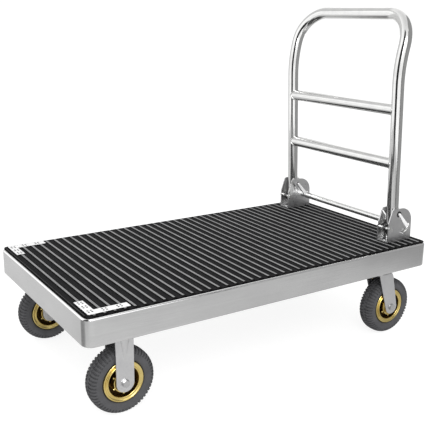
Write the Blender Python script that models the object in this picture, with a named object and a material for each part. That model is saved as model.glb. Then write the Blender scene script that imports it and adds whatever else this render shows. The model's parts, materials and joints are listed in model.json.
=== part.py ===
"""Flatbed platform truck: a pressed steel tray deck with a ribbed mat, a folding tube handle
with a foot-bar lock, two fixed casters in front and two swivel casters under the handle.

Metres, +Z up. X runs along the deck with the handle at +X, Y runs across it, and the origin is
on the floor under the deck's centre. Left is the side at -Y, as seen by whoever pushes the handle.
"""
import math

import bmesh
import bpy
from mathutils import Matrix, Vector

# ---- driving dimensions --------------------------------------------------------------------
DECK_LENGTH = 1.100
DECK_WIDTH = 0.600
DECK_TOP = 0.278           # floor to the tray's upper face
APRON_HEIGHT = 0.070
SHEET = 0.002
TRAY_CORNER_RADIUS = 0.025
TRAY_EDGE_BEND = 0.005
RETURN_FLANGE = 0.008      # inward lip along the apron's lower edge

MAT_INSET = 0.005
MAT_CORNER_RADIUS = 0.014
MAT_THICKNESS = 0.003
RIDGE_COUNT = 42
RIDGE_PITCH = 0.0254
RIDGE_WIDTH = 0.0075
RIDGE_HEIGHT = 0.0015
RIDGE_SLOPE = 0.001        # run of a ridge's sloping flanks
RIDGE_END_MARGIN = 0.005

GAP = 0.0003               # clearance between neighbouring solids
WELD = 0.001               # how far a joined shape reaches into its neighbour

GUARD_THICKNESS = 0.0012
GUARD_INSET = 0.0155       # deck's edge to the guard's outer edge
GUARD_LONG_ARM = 0.105     # along the deck
GUARD_SHORT_ARM = 0.084    # across the deck
GUARD_WIDTH = 0.0225
GUARD_OUTER_RADIUS = 0.004
GUARD_INNER_RADIUS = 0.002

RAIL_WIDTH = 0.100
RAIL_THICKNESS = 0.003
RAIL_LENGTH = 1.040
RAIL_BOTTOM = 0.216
CROSS_WIDTH = 0.060
CROSS_DEPTH = 0.040
CROSS_X = (-0.400, 0.0, 0.400)

WHEEL_RADIUS = 0.085
TYRE_WIDTH = 0.050
RIM_RADIUS = 0.053
WHEEL_Y = 0.243
FIXED_WHEEL_X = -0.442
SWIVEL_WHEEL_X = 0.443
SWIVEL_TRAIL = 0.038       # the kingpin stands this far ahead of the rear axle
AXLE_RADIUS = 0.006
WHEEL_SEGMENTS = 24        # tyre and rim share them, so that their facets stay parallel
BORE_SEGMENTS = 16         # shared by each small pin and the hole round it
CUT_REACH = 0.010          # how far a cutter runs past what it cuts
LEG_INNER = 0.0275         # wheel centre plane to a fork leg's inner face
LEG_THICKNESS = 0.0035
FIXED_LEG_HALF_WIDTH = 0.0235
RIB_TOP = 0.200            # pressed V rib on a fixed fork's leg: level edge, apex, half width
RIB_APEX = 0.142
RIB_HALF_WIDTH = 0.014
RIB_RISE = 0.0022
AXLE_HEAD_RADIUS = 0.0105
AXLE_HEAD_LENGTH = 0.006
BEARING_RADIUS = 0.0161
BEARING_SPAN = (0.0103, 0.0250)    # from the wheel's centre plane
CASTER_PLATE = (0.114, 0.092, 0.005)
CASTER_PLATE_CORNER = 0.006
CROWN_TOP = 0.1977
CROWN_THICKNESS = 0.004
CROWN_RADIUS = 0.038
SWIVEL_LEG_END_RADIUS = 0.0215
SWIVEL_LEG_FRONT = -0.020  # the leg's top edge, from the kingpin
SWIVEL_LEG_REAR = 0.034
RACE_BORE_RADIUS = 0.016
RACE_RADIUS = 0.034
KINGPIN_NUT_RADIUS = 0.011
KINGPIN_NUT_LENGTH = 0.007

TUBE_RADIUS = 0.017
TUBE_WALL = 0.002
HANDLE_Y = 0.233           # centre of each upright and of its hinge bracket
HANDLE_X = 0.4647          # upright's centre line at the level of the tray's upper face
HANDLE_LEAN = -0.045       # radians, towards the front as it rises
HANDLE_BEND_START = 0.458  # measured along the upright from the tray's upper face
HANDLE_BEND_RADIUS = 0.369
HANDLE_CORNER_RADIUS = 0.097
HANDLE_REACH = 0.6676      # along the upright to the grip's centre line
CROSS_BAR_RADIUS = 0.0165
CROSS_BAR_HEIGHTS = (0.237, 0.393)

BRACKET_FRONT = 0.426
BRACKET_REAR = 0.522
BRACKET_HALF_WIDTH = 0.0215
BRACKET_PLATE = 0.0035
BRACKET_HEIGHT = 0.105     # tray's upper face to the top of the ears
PIVOT_X = 0.434
PIVOT_HEIGHT = 0.046
PIVOT_RADIUS = 0.005
PIVOT_HEAD_RADIUS = 0.0080
PIVOT_HEAD_LENGTH = 0.0045
EAR_BACK_RADIUS = 0.043
EAR_KNEE_HEIGHT = 0.064    # where the ear's front edge starts to slant back
EAR_KNEE_RUN = 0.013
LATCH_SLOT = ((0.4395, 0.096), (0.4535, 0.080), (0.4525, 0.068))   # kinked, in the inner ears
LATCH_SLOT_RADIUS = 0.0026

LUG_THICKNESS = 0.006
LUG_TOP = 0.060            # over the tray's upper face, as are the heights below
LUG_BOTTOM = 0.018
LUG_FRONT = 0.450
LUG_BACK = 0.484
LUG_EYE_RADIUS = 0.009
LATCH_NOSE_X = 0.495
LATCH_NOSE_HEIGHTS = (0.029, 0.036)
LATCH_STEP_HEIGHT = 0.040

LOCK_PIVOT_X = 0.466
LOCK_PIVOT_HEIGHT = 0.088
LOCK_ROD_X = 0.505
LOCK_ROD_HEIGHT = 0.044
LOCK_ROD_RADIUS = 0.005
LOCK_BAR_RADIUS = 0.010
LOCK_ARM_THICKNESS = 0.004
LOCK_ARM_FOOT_RADIUS = 0.0085
LOCK_ARM_TOP_RADIUS = 0.0050
LOCK_SWING = math.radians(8.0)
ROD_SLOT_PLAY = 0.0005
STUB_RADIUS = 0.0035
STUB_PROUD = 0.0012
OUTER_BUSH_RADIUS = 0.0092
INNER_BUSH_RADIUS = 0.0055

SPRING_RADIUS = 0.0032
SPRING_WIRE = 0.0006
SPRING_TURNS = 6
SPRING_ANCHOR = (0.4835, 0.028)    # X, and height over the tray's upper face
SPRING_PIN_RADIUS = 0.002
SPRING_PIN_REACH = 0.0075
SPRING_END_ROOM = 0.010    # from the coil's upper end to the lock rod's centre line

SIDES = {"left": -1.0, "right": 1.0}
MAT_TOP = DECK_TOP + MAT_THICKNESS + RIDGE_HEIGHT
STAND = MAT_TOP + GAP              # underside of what is fixed on the mat
BRACKET_BASE_TOP = STAND + BRACKET_PLATE
KINGPIN_X = SWIVEL_WHEEL_X - SWIVEL_TRAIL
PLATE_TOP = RAIL_BOTTOM - GAP
PLATE_BOTTOM = PLATE_TOP - CASTER_PLATE[2]


# ---- scene and materials -------------------------------------------------------------------
for old in list(bpy.data.objects):
    bpy.data.objects.remove(old, do_unlink=True)


def make_material(name, color, metallic, roughness):
    material = bpy.data.materials.new(name)
    material.use_nodes = True
    shader = material.node_tree.nodes["Principled BSDF"]
    shader.inputs["Base Color"].default_value = (*color, 1.0)
    shader.inputs["Metallic"].default_value = metallic
    shader.inputs["Roughness"].default_value = roughness
    return material


FINISHES = {
    "steel": ((0.60, 0.60, 0.60), 0.9, 0.35),
    "bright": ((0.80, 0.80, 0.79), 1.0, 0.15),
    "zinc": ((0.66, 0.66, 0.65), 0.9, 0.40),
    "mat": ((0.020, 0.020, 0.021), 0.0, 0.75),
    "plastic": ((0.015, 0.015, 0.015), 0.0, 0.45),
    "guard": ((0.88, 0.88, 0.88), 0.0, 0.35),
    "tyre": ((0.045, 0.045, 0.048), 0.0, 0.80),
    "gold": ((0.62, 0.44, 0.12), 1.0, 0.25),
}


# ---- mesh tools ----------------------------------------------------------------------------
def add_object(name, mesh_data, finish, smooth_angle=None):
    """Turns a bmesh into a named object with a material of its own."""
    bmesh.ops.recalc_face_normals(mesh_data, faces=mesh_data.faces)
    mesh = bpy.data.meshes.new(name)
    mesh_data.to_mesh(mesh)
    mesh_data.free()
    if smooth_angle is not None:
        mesh.shade_smooth()
        mesh.set_sharp_from_angle(angle=math.radians(smooth_angle))
    mesh.materials.append(make_material(name + "_" + finish, *FINISHES[finish]))
    obj = bpy.data.objects.new(name, mesh)
    bpy.context.scene.collection.objects.link(obj)
    return obj


def combine(target, tool, operation):
    """Adds an EXACT Boolean to target and hides the tool as a wire guide."""
    modifier = target.modifiers.new(operation.lower(), "BOOLEAN")
    modifier.operation = operation
    modifier.solver = "EXACT"
    modifier.object = tool
    tool.hide_render = True
    tool.display_type = "WIRE"


def place(obj, location=None, parent=None):
    """Sets an object at a world location, under an unrotated parent if one is given."""
    if location is not None:
        obj.location = location
    if parent is not None:
        obj.parent = parent
        obj.matrix_parent_inverse = Matrix.Translation(-Vector(parent.location))
    return obj


def add_pivot(name, location):
    pivot = bpy.data.objects.new(name, None)
    pivot.location = location
    pivot.empty_display_size = 0.03
    bpy.context.scene.collection.objects.link(pivot)
    return pivot


def prism(outline, start, end, plane="XZ"):
    """Extrudes a closed outline along the plane's normal, from start to end."""
    to_3d = {
        "XZ": lambda a, b, depth: (a, depth, b),
        "YZ": lambda a, b, depth: (depth, a, b),
        "XY": lambda a, b, depth: (a, b, depth),
    }[plane]
    data = bmesh.new()
    near = [data.verts.new(to_3d(a, b, start)) for a, b in outline]
    far = [data.verts.new(to_3d(a, b, end)) for a, b in outline]
    data.faces.new(near)
    data.faces.new(list(reversed(far)))
    count = len(outline)
    for i in range(count):
        j = (i + 1) % count
        data.faces.new((near[i], far[i], far[j], near[j]))
    return data


def turned(profile, segments, axis="Y", closed=True):
    """Spins (distance along the axis, radius) points once round the axis through the origin."""
    data = bmesh.new()
    rings = []
    for along, radius in profile:
        ring = []
        for i in range(segments):
            angle = 2.0 * math.pi * i / segments
            across = radius * math.cos(angle)
            up = radius * math.sin(angle)
            point = (across, along, up) if axis == "Y" else (across, up, along)
            ring.append(data.verts.new(point))
        rings.append(ring)
    pairs = list(zip(rings, rings[1:]))
    if closed:
        pairs.append((rings[-1], rings[0]))
    else:
        data.faces.new(rings[0])
        data.faces.new(rings[-1])
    for ring, following in pairs:
        for i in range(segments):
            j = (i + 1) % segments
            data.faces.new((ring[i], ring[j], following[j], following[i]))
    return data


def arc(center, radius, start, end, steps):
    """Points on an arc, angles in degrees."""
    points = []
    for i in range(steps + 1):
        angle = math.radians(start + (end - start) * i / steps)
        points.append((center[0] + radius * math.cos(angle), center[1] + radius * math.sin(angle)))
    return points


def rounded_rectangle(half_x, half_y, radius, steps=6):
    corners = ((1, 1, 0), (-1, 1, 90), (-1, -1, 180), (1, -1, 270))
    points = []
    for sign_x, sign_y, start in corners:
        center = (sign_x * (half_x - radius), sign_y * (half_y - radius))
        points += arc(center, radius, start, start + 90, steps)
    return points


def capsule(start, end, radius, steps=6):
    """Outline of a slot with round ends between two points."""
    heading = math.degrees(math.atan2(end[1] - start[1], end[0] - start[0]))
    points = arc(end, radius, heading - 90, heading + 90, steps)
    points += arc(start, radius, heading + 90, heading + 270, steps)
    return points


def swept(points, normals, radius, sides, wall=None):
    """A round bar, or a tube open at its ends, along a path whose cross direction is given."""
    data = bmesh.new()
    count = len(points)
    radii = [radius] if wall is None else [radius, radius - wall]
    shells = [[] for _ in radii]
    for index, point in enumerate(points):
        before = points[max(index - 1, 0)]
        after = points[min(index + 1, count - 1)]
        tangent = (after - before).normalized()
        side = (normals[index] - tangent * normals[index].dot(tangent)).normalized()
        other = tangent.cross(side)
        for shell, size in zip(shells, radii):
            ring = []
            for i in range(sides):
                angle = 2.0 * math.pi * i / sides
                offset = side * math.cos(angle) * size + other * math.sin(angle) * size
                ring.append(data.verts.new(point + offset))
            shell.append(ring)
    for shell in shells:
        for ring, following in zip(shell, shell[1:]):
            for i in range(sides):
                j = (i + 1) % sides
                data.faces.new((ring[i], ring[j], following[j], following[i]))
    for end in (0, -1):
        if wall is None:
            data.faces.new(shells[0][end])
            continue
        for i in range(sides):
            j = (i + 1) % sides
            data.faces.new((shells[0][end][i], shells[0][end][j],
                            shells[1][end][j], shells[1][end][i]))
    return data


def bolt(name, radius, length, head_radius, head_length):
    """A hexagon bolt along Y with its nut on the far end, centred on the origin."""
    half = length / 2
    hexagon = 6
    reach = half + head_length / 2
    shaft = turned([(-reach, radius), (reach, radius)], BORE_SEGMENTS, closed=False)
    obj = add_object(name, shaft, "bright", 40)
    for suffix, low, high in (("head", -half - head_length, -half), ("nut", half, half + head_length)):
        block = turned([(low, head_radius), (high, head_radius)], hexagon, closed=False)
        tool = add_object(name + "_" + suffix + "_guide", block, "bright")
        tool.parent = obj
        combine(obj, tool, "UNION")
    return obj


# ---- deck ----------------------------------------------------------------------------------
def build_tray():
    bottom = DECK_TOP - APRON_HEIGHT
    bend = TRAY_EDGE_BEND
    inner_bend = bend - SHEET
    outside = [(RETURN_FLANGE + SHEET, bottom), (0.0, bottom)]
    inside = [(SHEET, bottom + SHEET), (RETURN_FLANGE + SHEET, bottom + SHEET)]
    bend_steps = 3
    for i in range(bend_steps + 1):
        angle = math.pi / 2 * i / bend_steps
        outside.append((bend - bend * math.cos(angle), DECK_TOP - bend + bend * math.sin(angle)))
        inside.insert(0, (bend - inner_bend * math.cos(angle),
                          DECK_TOP - bend + inner_bend * math.sin(angle)))
    data = bmesh.new()
    loops = []
    for inset, height in outside + inside:
        radius = TRAY_CORNER_RADIUS - inset
        outline = rounded_rectangle(DECK_LENGTH / 2 - inset, DECK_WIDTH / 2 - inset, radius)
        loops.append([data.verts.new((x, y, height)) for x, y in outline])
    top_outer = len(outside) - 1
    pairs = [(i, i + 1) for i in range(len(loops) - 1) if i != top_outer]
    pairs.append((len(loops) - 1, 0))
    for first, second in pairs:
        count = len(loops[first])
        for i in range(count):
            j = (i + 1) % count
            data.faces.new((loops[first][i], loops[first][j], loops[second][j], loops[second][i]))
    data.faces.new(loops[top_outer])
    data.faces.new(loops[top_outer + 1])
    add_object("deck_tray", data, "steel", 30)


def build_mat():
    half_x = DECK_LENGTH / 2 - MAT_INSET
    half_y = DECK_WIDTH / 2 - MAT_INSET
    surface = DECK_TOP + MAT_THICKNESS
    outline = rounded_rectangle(half_x, half_y, MAT_CORNER_RADIUS)
    mat = add_object("anti_slip_mat", prism(outline, DECK_TOP + GAP, surface, "XY"), "mat")
    ridge_half_length = half_y - RIDGE_END_MARGIN
    foot = RIDGE_WIDTH / 2
    shoulder = foot - RIDGE_SLOPE
    section = [(-foot, surface - WELD), (foot, surface - WELD), (foot, surface),
               (shoulder, surface + RIDGE_HEIGHT), (-shoulder, surface + RIDGE_HEIGHT), (-foot, surface)]
    data = bmesh.new()
    for i in range(RIDGE_COUNT):
        center = (i - (RIDGE_COUNT - 1) / 2) * RIDGE_PITCH
        near_end = [data.verts.new((center + x, -ridge_half_length, z)) for x, z in section]
        far_end = [data.verts.new((center + x, ridge_half_length, z)) for x, z in section]
        data.faces.new(near_end)
        data.faces.new(list(reversed(far_end)))
        for k in range(len(section)):
            following = (k + 1) % len(section)
            data.faces.new((near_end[k], far_end[k], far_end[following], near_end[following]))
    combine(mat, add_object("mat_ridges_guide", data, "mat"), "UNION")


def build_corner_guard(name, side):
    """An L-shaped plate riveted over one of the mat's two front corners."""
    corner_x = -DECK_LENGTH / 2 + GUARD_INSET
    corner_y = DECK_WIDTH / 2 - GUARD_INSET
    bend = GUARD_WIDTH + GUARD_INNER_RADIUS
    outline = arc((corner_x + GUARD_OUTER_RADIUS, corner_y - GUARD_OUTER_RADIUS),
                  GUARD_OUTER_RADIUS, 180, 90, 4)
    outline += [(corner_x + GUARD_LONG_ARM, corner_y), (corner_x + GUARD_LONG_ARM, corner_y - GUARD_WIDTH)]
    outline += arc((corner_x + bend, corner_y - bend), GUARD_INNER_RADIUS, 90, 180, 3)
    outline += [(corner_x + GUARD_WIDTH, corner_y - GUARD_SHORT_ARM), (corner_x, corner_y - GUARD_SHORT_ARM)]
    outline = [(x, side * y) for x, y in outline]
    add_object(name, prism(outline, STAND, STAND + GUARD_THICKNESS, "XY"), "guard")


def channel_section(half_width, bottom, top, thickness):
    """A U section, open at the top."""
    inner = half_width - thickness
    return [(-half_width, bottom), (half_width, bottom), (half_width, top), (inner, top),
            (inner, bottom + thickness), (-inner, bottom + thickness), (-inner, top),
            (-half_width, top)]


def build_rail(name, side):
    top = DECK_TOP - SHEET - GAP
    section = channel_section(RAIL_WIDTH / 2, RAIL_BOTTOM, top, RAIL_THICKNESS)
    section = [(side * WHEEL_Y + y, z) for y, z in section]
    add_object(name, prism(section, -RAIL_LENGTH / 2, RAIL_LENGTH / 2, "YZ"), "steel")


def build_cross_member(name, x):
    top = DECK_TOP - SHEET - GAP
    half_length = WHEEL_Y - RAIL_WIDTH / 2 - GAP
    section = channel_section(CROSS_WIDTH / 2, top - CROSS_DEPTH, top, RAIL_THICKNESS)
    section = [(x + across, z) for across, z in section]
    add_object(name, prism(section, -half_length, half_length, "XZ"), "steel")


# ---- casters -------------------------------------------------------------------------------
def tyre_profile():
    half = TYRE_WIDTH / 2
    seat = RIM_RADIUS + GAP
    right = [(0.0205, seat), (half, 0.062), (half - 0.0010, 0.074), (half - 0.0045, 0.081),
             (half - 0.0110, WHEEL_RADIUS)]
    left = [(-y, r) for y, r in reversed(right)]
    return left + right


def rim_profile():
    right = [(0.0100, 0.0120), (0.0100, 0.0164), (0.0245, 0.0164), (0.0245, 0.0245),
             (0.0215, 0.0272), (0.0045, 0.0280), (0.0045, 0.0390), (0.0195, 0.0405),
             (0.0215, 0.0455), (0.0200, RIM_RADIUS)]
    left = [(-y, r) for y, r in reversed(right)]
    return left + right


def build_wheel(name, x, side, parent):
    """Tyre, rim and two bearings, turned about the axle, all parented to the spinning pivot."""
    spin = place(add_pivot(name + "_spin", (x, side * WHEEL_Y, WHEEL_RADIUS)), parent=parent)
    tyre = add_object(name + "_tyre", turned(tyre_profile(), WHEEL_SEGMENTS), "tyre", 35)
    rim = add_object(name + "_rim", turned(rim_profile(), WHEEL_SEGMENTS), "gold", 35)
    bore = AXLE_RADIUS + GAP
    near, far = BEARING_SPAN
    pieces = [tyre, rim]
    for end, direction in (("outer", side), ("inner", -side)):
        ring = [(near, bore), (far, bore), (far, BEARING_RADIUS), (near, BEARING_RADIUS)]
        ring = [(direction * along, radius) for along, radius in ring]
        pieces.append(add_object(name + "_bearing_" + end, turned(ring, 16), "bright", 35))
    for piece in pieces:
        piece.parent = spin


def build_axle_bolt(name, x, side, parent):
    length = 2 * (LEG_INNER + LEG_THICKNESS + GAP)
    obj = bolt(name, AXLE_RADIUS, length, AXLE_HEAD_RADIUS, AXLE_HEAD_LENGTH)
    place(obj, (x, side * WHEEL_Y, WHEEL_RADIUS), parent)


def axle_hole(name, x, side):
    radius = AXLE_RADIUS + GAP
    reach = LEG_INNER + LEG_THICKNESS + CUT_REACH
    tool = add_object(name, turned([(-reach, radius), (reach, radius)], BORE_SEGMENTS, closed=False), "zinc")
    tool.location = (x, side * WHEEL_Y, WHEEL_RADIUS)
    return tool


def build_fixed_fork(name, side):
    """Mounting plate with two straight legs, each stiffened by a pressed V rib."""
    length, width, _ = CASTER_PLATE
    plate = rounded_rectangle(length / 2, width / 2, CASTER_PLATE_CORNER, 3)
    plate = [(FIXED_WHEEL_X + x, side * WHEEL_Y + y) for x, y in plate]
    fork = add_object(name, prism(plate, PLATE_BOTTOM, PLATE_TOP, "XY"), "zinc")
    half = FIXED_LEG_HALF_WIDTH
    leg = arc((FIXED_WHEEL_X, WHEEL_RADIUS), half, 180, 360, 8)
    leg += [(FIXED_WHEEL_X + half, PLATE_BOTTOM + WELD), (FIXED_WHEEL_X - half, PLATE_BOTTOM + WELD)]
    rib = [(FIXED_WHEEL_X - RIB_HALF_WIDTH, RIB_TOP), (FIXED_WHEEL_X, RIB_APEX),
           (FIXED_WHEEL_X + RIB_HALF_WIDTH, RIB_TOP)]
    for label, direction in (("outer", side), ("inner", -side)):
        center = side * WHEEL_Y
        face = center + direction * (LEG_INNER + LEG_THICKNESS)
        solid = prism(leg, center + direction * LEG_INNER, face)
        combine(fork, add_object(name + "_" + label + "_leg_guide", solid, "zinc"), "UNION")
        raised = prism(rib, face - direction * WELD, face + direction * RIB_RISE)
        combine(fork, add_object(name + "_" + label + "_rib_guide", raised, "zinc"), "UNION")
    combine(fork, axle_hole(name + "_hole_guide", FIXED_WHEEL_X, side), "DIFFERENCE")


def kingpin_hole(name, low, high, side):
    radius = AXLE_RADIUS + GAP
    shaft = [(low - CUT_REACH, radius), (high + CUT_REACH, radius)]
    tool = add_object(name, turned(shaft, BORE_SEGMENTS, "Z", closed=False), "zinc")
    tool.location = (KINGPIN_X, side * WHEEL_Y, 0.0)
    return tool


def build_swivel_plate(name, side):
    length, width, _ = CASTER_PLATE
    outline = rounded_rectangle(length / 2, width / 2, CASTER_PLATE_CORNER, 3)
    outline = [(KINGPIN_X + x, side * WHEEL_Y + y) for x, y in outline]
    plate = add_object(name, prism(outline, PLATE_BOTTOM, PLATE_TOP, "XY"), "zinc")
    combine(plate, kingpin_hole(name + "_hole_guide", PLATE_BOTTOM, PLATE_TOP, side), "DIFFERENCE")


def build_swivel_race(name, side):
    """The ball race between the mounting plate and the fork's crown."""
    low = CROWN_TOP + GAP
    high = PLATE_BOTTOM - GAP
    middle = (low + high) / 2
    chamfer = 0.003
    band = 0.001
    ring = [(low, RACE_BORE_RADIUS), (high, RACE_BORE_RADIUS), (high, RACE_RADIUS - chamfer),
            (middle + band, RACE_RADIUS), (middle - band, RACE_RADIUS), (low, RACE_RADIUS - chamfer)]
    race = add_object(name, turned(ring, WHEEL_SEGMENTS, "Z"), "zinc", 35)
    race.location = (KINGPIN_X, side * WHEEL_Y, 0.0)


def build_kingpin(name, side):
    """The pin that hangs the fork from its mounting plate, with its nut under the crown."""
    nut_top = CROWN_TOP - CROWN_THICKNESS - GAP
    nut_bottom = nut_top - KINGPIN_NUT_LENGTH
    shaft = [(nut_bottom, KINGPIN_NUT_RADIUS), (nut_top, KINGPIN_NUT_RADIUS), (nut_top, AXLE_RADIUS),
             (PLATE_TOP - GAP, AXLE_RADIUS)]
    pin = add_object(name, turned(shaft, BORE_SEGMENTS, "Z", closed=False), "bright", 35)
    pin.location = (KINGPIN_X, side * WHEEL_Y, 0.0)


def build_swivel_fork(name, side, parent):
    """Round crown with two legs raked back to the axle."""
    center_y = side * WHEEL_Y
    crown_bottom = CROWN_TOP - CROWN_THICKNESS
    disc = [(crown_bottom, CROWN_RADIUS), (CROWN_TOP, CROWN_RADIUS)]
    fork = add_object(name, turned(disc, WHEEL_SEGMENTS, "Z", closed=False), "zinc", 35)
    place(fork, (KINGPIN_X, center_y, 0.0), parent)
    crown_middle = CROWN_TOP - CROWN_THICKNESS / 2
    rear_chamfer = 0.007
    front_top = KINGPIN_X + SWIVEL_LEG_FRONT
    rear_top = KINGPIN_X + SWIVEL_LEG_REAR - rear_chamfer / 2
    leg = arc((SWIVEL_WHEEL_X, WHEEL_RADIUS), SWIVEL_LEG_END_RADIUS, 198, 370, 8)
    leg += [(rear_top + rear_chamfer, CROWN_TOP - 2 * rear_chamfer), (rear_top, crown_middle),
            (front_top, crown_middle)]
    shelf_half_length = (rear_top - front_top) / 2
    shelf = rounded_rectangle(shelf_half_length, LEG_INNER + LEG_THICKNESS, 0.004, 2)
    shelf = [(front_top + shelf_half_length + x, center_y + y) for x, y in shelf]
    top = prism(shelf, crown_bottom, CROWN_TOP - GAP, "XY")
    combine(fork, add_object(name + "_shelf_guide", top, "zinc"), "UNION")
    for label, direction in (("outer", side), ("inner", -side)):
        near = center_y + direction * LEG_INNER
        far = center_y + direction * (LEG_INNER + LEG_THICKNESS)
        guide = add_object(name + "_" + label + "_leg_guide", prism(leg, near, far), "zinc")
        combine(fork, guide, "UNION")
    combine(fork, axle_hole(name + "_hole_guide", SWIVEL_WHEEL_X, side), "DIFFERENCE")
    combine(fork, kingpin_hole(name + "_bore_guide", crown_bottom, CROWN_TOP, side), "DIFFERENCE")


# ---- handle --------------------------------------------------------------------------------
def upright_point(distance):
    """X and height of the handle's centre line, this far along an upright from the deck."""
    straight = min(distance, HANDLE_BEND_START)
    x = HANDLE_X + math.sin(HANDLE_LEAN) * straight
    height = math.cos(HANDLE_LEAN) * straight
    if distance > HANDLE_BEND_START:
        turn = HANDLE_LEAN + (distance - HANDLE_BEND_START) / HANDLE_BEND_RADIUS
        x += HANDLE_BEND_RADIUS * (math.cos(HANDLE_LEAN) - math.cos(turn))
        height += HANDLE_BEND_RADIUS * (math.sin(turn) - math.sin(HANDLE_LEAN))
    return x, DECK_TOP + height


def upright_heading(distance):
    """Unit vector square to the handle's surface, pointing backwards."""
    turn = HANDLE_LEAN + max(0.0, distance - HANDLE_BEND_START) / HANDLE_BEND_RADIUS
    return Vector((math.cos(turn), 0.0, -math.sin(turn)))


def handle_path(start, straight_steps=5, corner_steps=7):
    """The U of the handle as (distance along the upright, Y) points, from left foot to right."""
    corner = HANDLE_CORNER_RADIUS
    shoulder = HANDLE_REACH - corner
    rise = [start, HANDLE_BEND_START]
    for i in range(1, straight_steps + 1):
        rise.append(HANDLE_BEND_START + (shoulder - HANDLE_BEND_START) * i / straight_steps)
    half = [(distance, HANDLE_Y) for distance in rise]
    for i in range(1, corner_steps + 1):
        angle = math.pi / 2 * i / corner_steps
        half.append((shoulder + corner * math.sin(angle), HANDLE_Y - corner + corner * math.cos(angle)))
    left = [(distance, -y) for distance, y in half]
    return left + [(distance, y) for distance, y in reversed(half)]


def build_handle_tube(pivot):
    lean_drop = TUBE_RADIUS * math.sin(-HANDLE_LEAN)
    foot = BRACKET_BASE_TOP - DECK_TOP + GAP + lean_drop
    path = handle_path(foot)
    points = []
    normals = []
    for distance, y in path:
        x, height = upright_point(distance)
        points.append(Vector((x, y, height)))
        normals.append(upright_heading(distance))
    tube = add_object("handle_tube", swept(points, normals, TUBE_RADIUS, 16, TUBE_WALL), "bright", 50)
    slot_half = LUG_THICKNESS / 2 + GAP
    for label, side in SIDES.items():
        front = HANDLE_X - 2 * TUBE_RADIUS
        back = HANDLE_X + 2 * TUBE_RADIUS
        slot_top = DECK_TOP + LUG_TOP + GAP
        outline = [(front, DECK_TOP), (back, DECK_TOP), (back, slot_top), (front, slot_top)]
        slot = prism(outline, side * HANDLE_Y - slot_half, side * HANDLE_Y + slot_half)
        combine(tube, add_object("handle_slot_" + label + "_guide", slot, "bright"), "DIFFERENCE")
    place(tube, parent=pivot)


def build_cross_bar(name, height, pivot):
    """A bar between the uprights, its ends coped round them."""
    distance = height / math.cos(HANDLE_LEAN)
    x, z = upright_point(distance)
    reach = HANDLE_Y - TUBE_RADIUS / 4
    shape = turned([(-reach, CROSS_BAR_RADIUS), (reach, CROSS_BAR_RADIUS)], BORE_SEGMENTS, closed=False)
    bar = place(add_object(name, shape, "bright", 40), (x, 0.0, z), pivot)
    cope = TUBE_RADIUS + GAP
    cope_half = 2 * CROSS_BAR_RADIUS
    for label, side in SIDES.items():
        cutter = turned([(-cope_half, cope), (cope_half, cope)], 20, "Z", closed=False)
        tool = add_object(name + "_cope_" + label + "_guide", cutter, "bright")
        tool.location = (x, side * HANDLE_Y, z)
        tool.rotation_euler = (0.0, HANDLE_LEAN, 0.0)
        combine(bar, tool, "DIFFERENCE")


def build_hinge_lug(name, side, pivot):
    """The plate through an upright's foot: the pivot eye in front, the latch nose behind."""
    nose_low, nose_high = LATCH_NOSE_HEIGHTS
    outline = arc((PIVOT_X, PIVOT_HEIGHT), LUG_EYE_RADIUS, 110, 250, 6)
    outline += [(LUG_FRONT, LUG_BOTTOM), (LUG_BACK, LUG_BOTTOM), (LATCH_NOSE_X, nose_low),
                (LATCH_NOSE_X, nose_high), (LUG_BACK, LATCH_STEP_HEIGHT), (LUG_BACK, LUG_TOP),
                (LUG_FRONT, LUG_TOP)]
    outline = [(x, DECK_TOP + z) for x, z in outline]
    low = side * HANDLE_Y - LUG_THICKNESS / 2
    lug = place(add_object(name, prism(outline, low, low + LUG_THICKNESS), "zinc"), parent=pivot)
    bore = PIVOT_RADIUS + GAP
    hole = turned([(-CUT_REACH, bore), (CUT_REACH, bore)], BORE_SEGMENTS, closed=False)
    tool = add_object(name + "_hole_guide", hole, "zinc")
    tool.location = (PIVOT_X, side * HANDLE_Y, DECK_TOP + PIVOT_HEIGHT)
    combine(lug, tool, "DIFFERENCE")


# ---- hinge brackets and lock ---------------------------------------------------------------
def ear_outline():
    """Side view of an ear: upright front edge, slanted knee, flat top and a round back."""
    corner = EAR_BACK_RADIUS
    bottom = STAND - DECK_TOP
    back = BRACKET_REAR - 0.002
    knee = BRACKET_FRONT + EAR_KNEE_RUN
    chamfer = 0.004
    points = [(BRACKET_REAR, bottom), (back, BRACKET_HEIGHT - corner)]
    points += arc((back - corner, BRACKET_HEIGHT - corner), corner, 8, 90, 8)
    points += [(knee + 1.5 * chamfer, BRACKET_HEIGHT), (knee, BRACKET_HEIGHT - chamfer),
               (BRACKET_FRONT, EAR_KNEE_HEIGHT), (BRACKET_FRONT, bottom)]
    return [(x, DECK_TOP + z) for x, z in points]


def lock_rod_swung(angle):
    """X and height of the lock rod when the arms have swung back by this angle."""
    dx = LOCK_ROD_X - LOCK_PIVOT_X
    dz = LOCK_ROD_HEIGHT - LOCK_PIVOT_HEIGHT
    x = LOCK_PIVOT_X + dx * math.cos(angle) - dz * math.sin(angle)
    z = LOCK_PIVOT_HEIGHT + dz * math.cos(angle) + dx * math.sin(angle)
    return x, DECK_TOP + z


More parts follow.
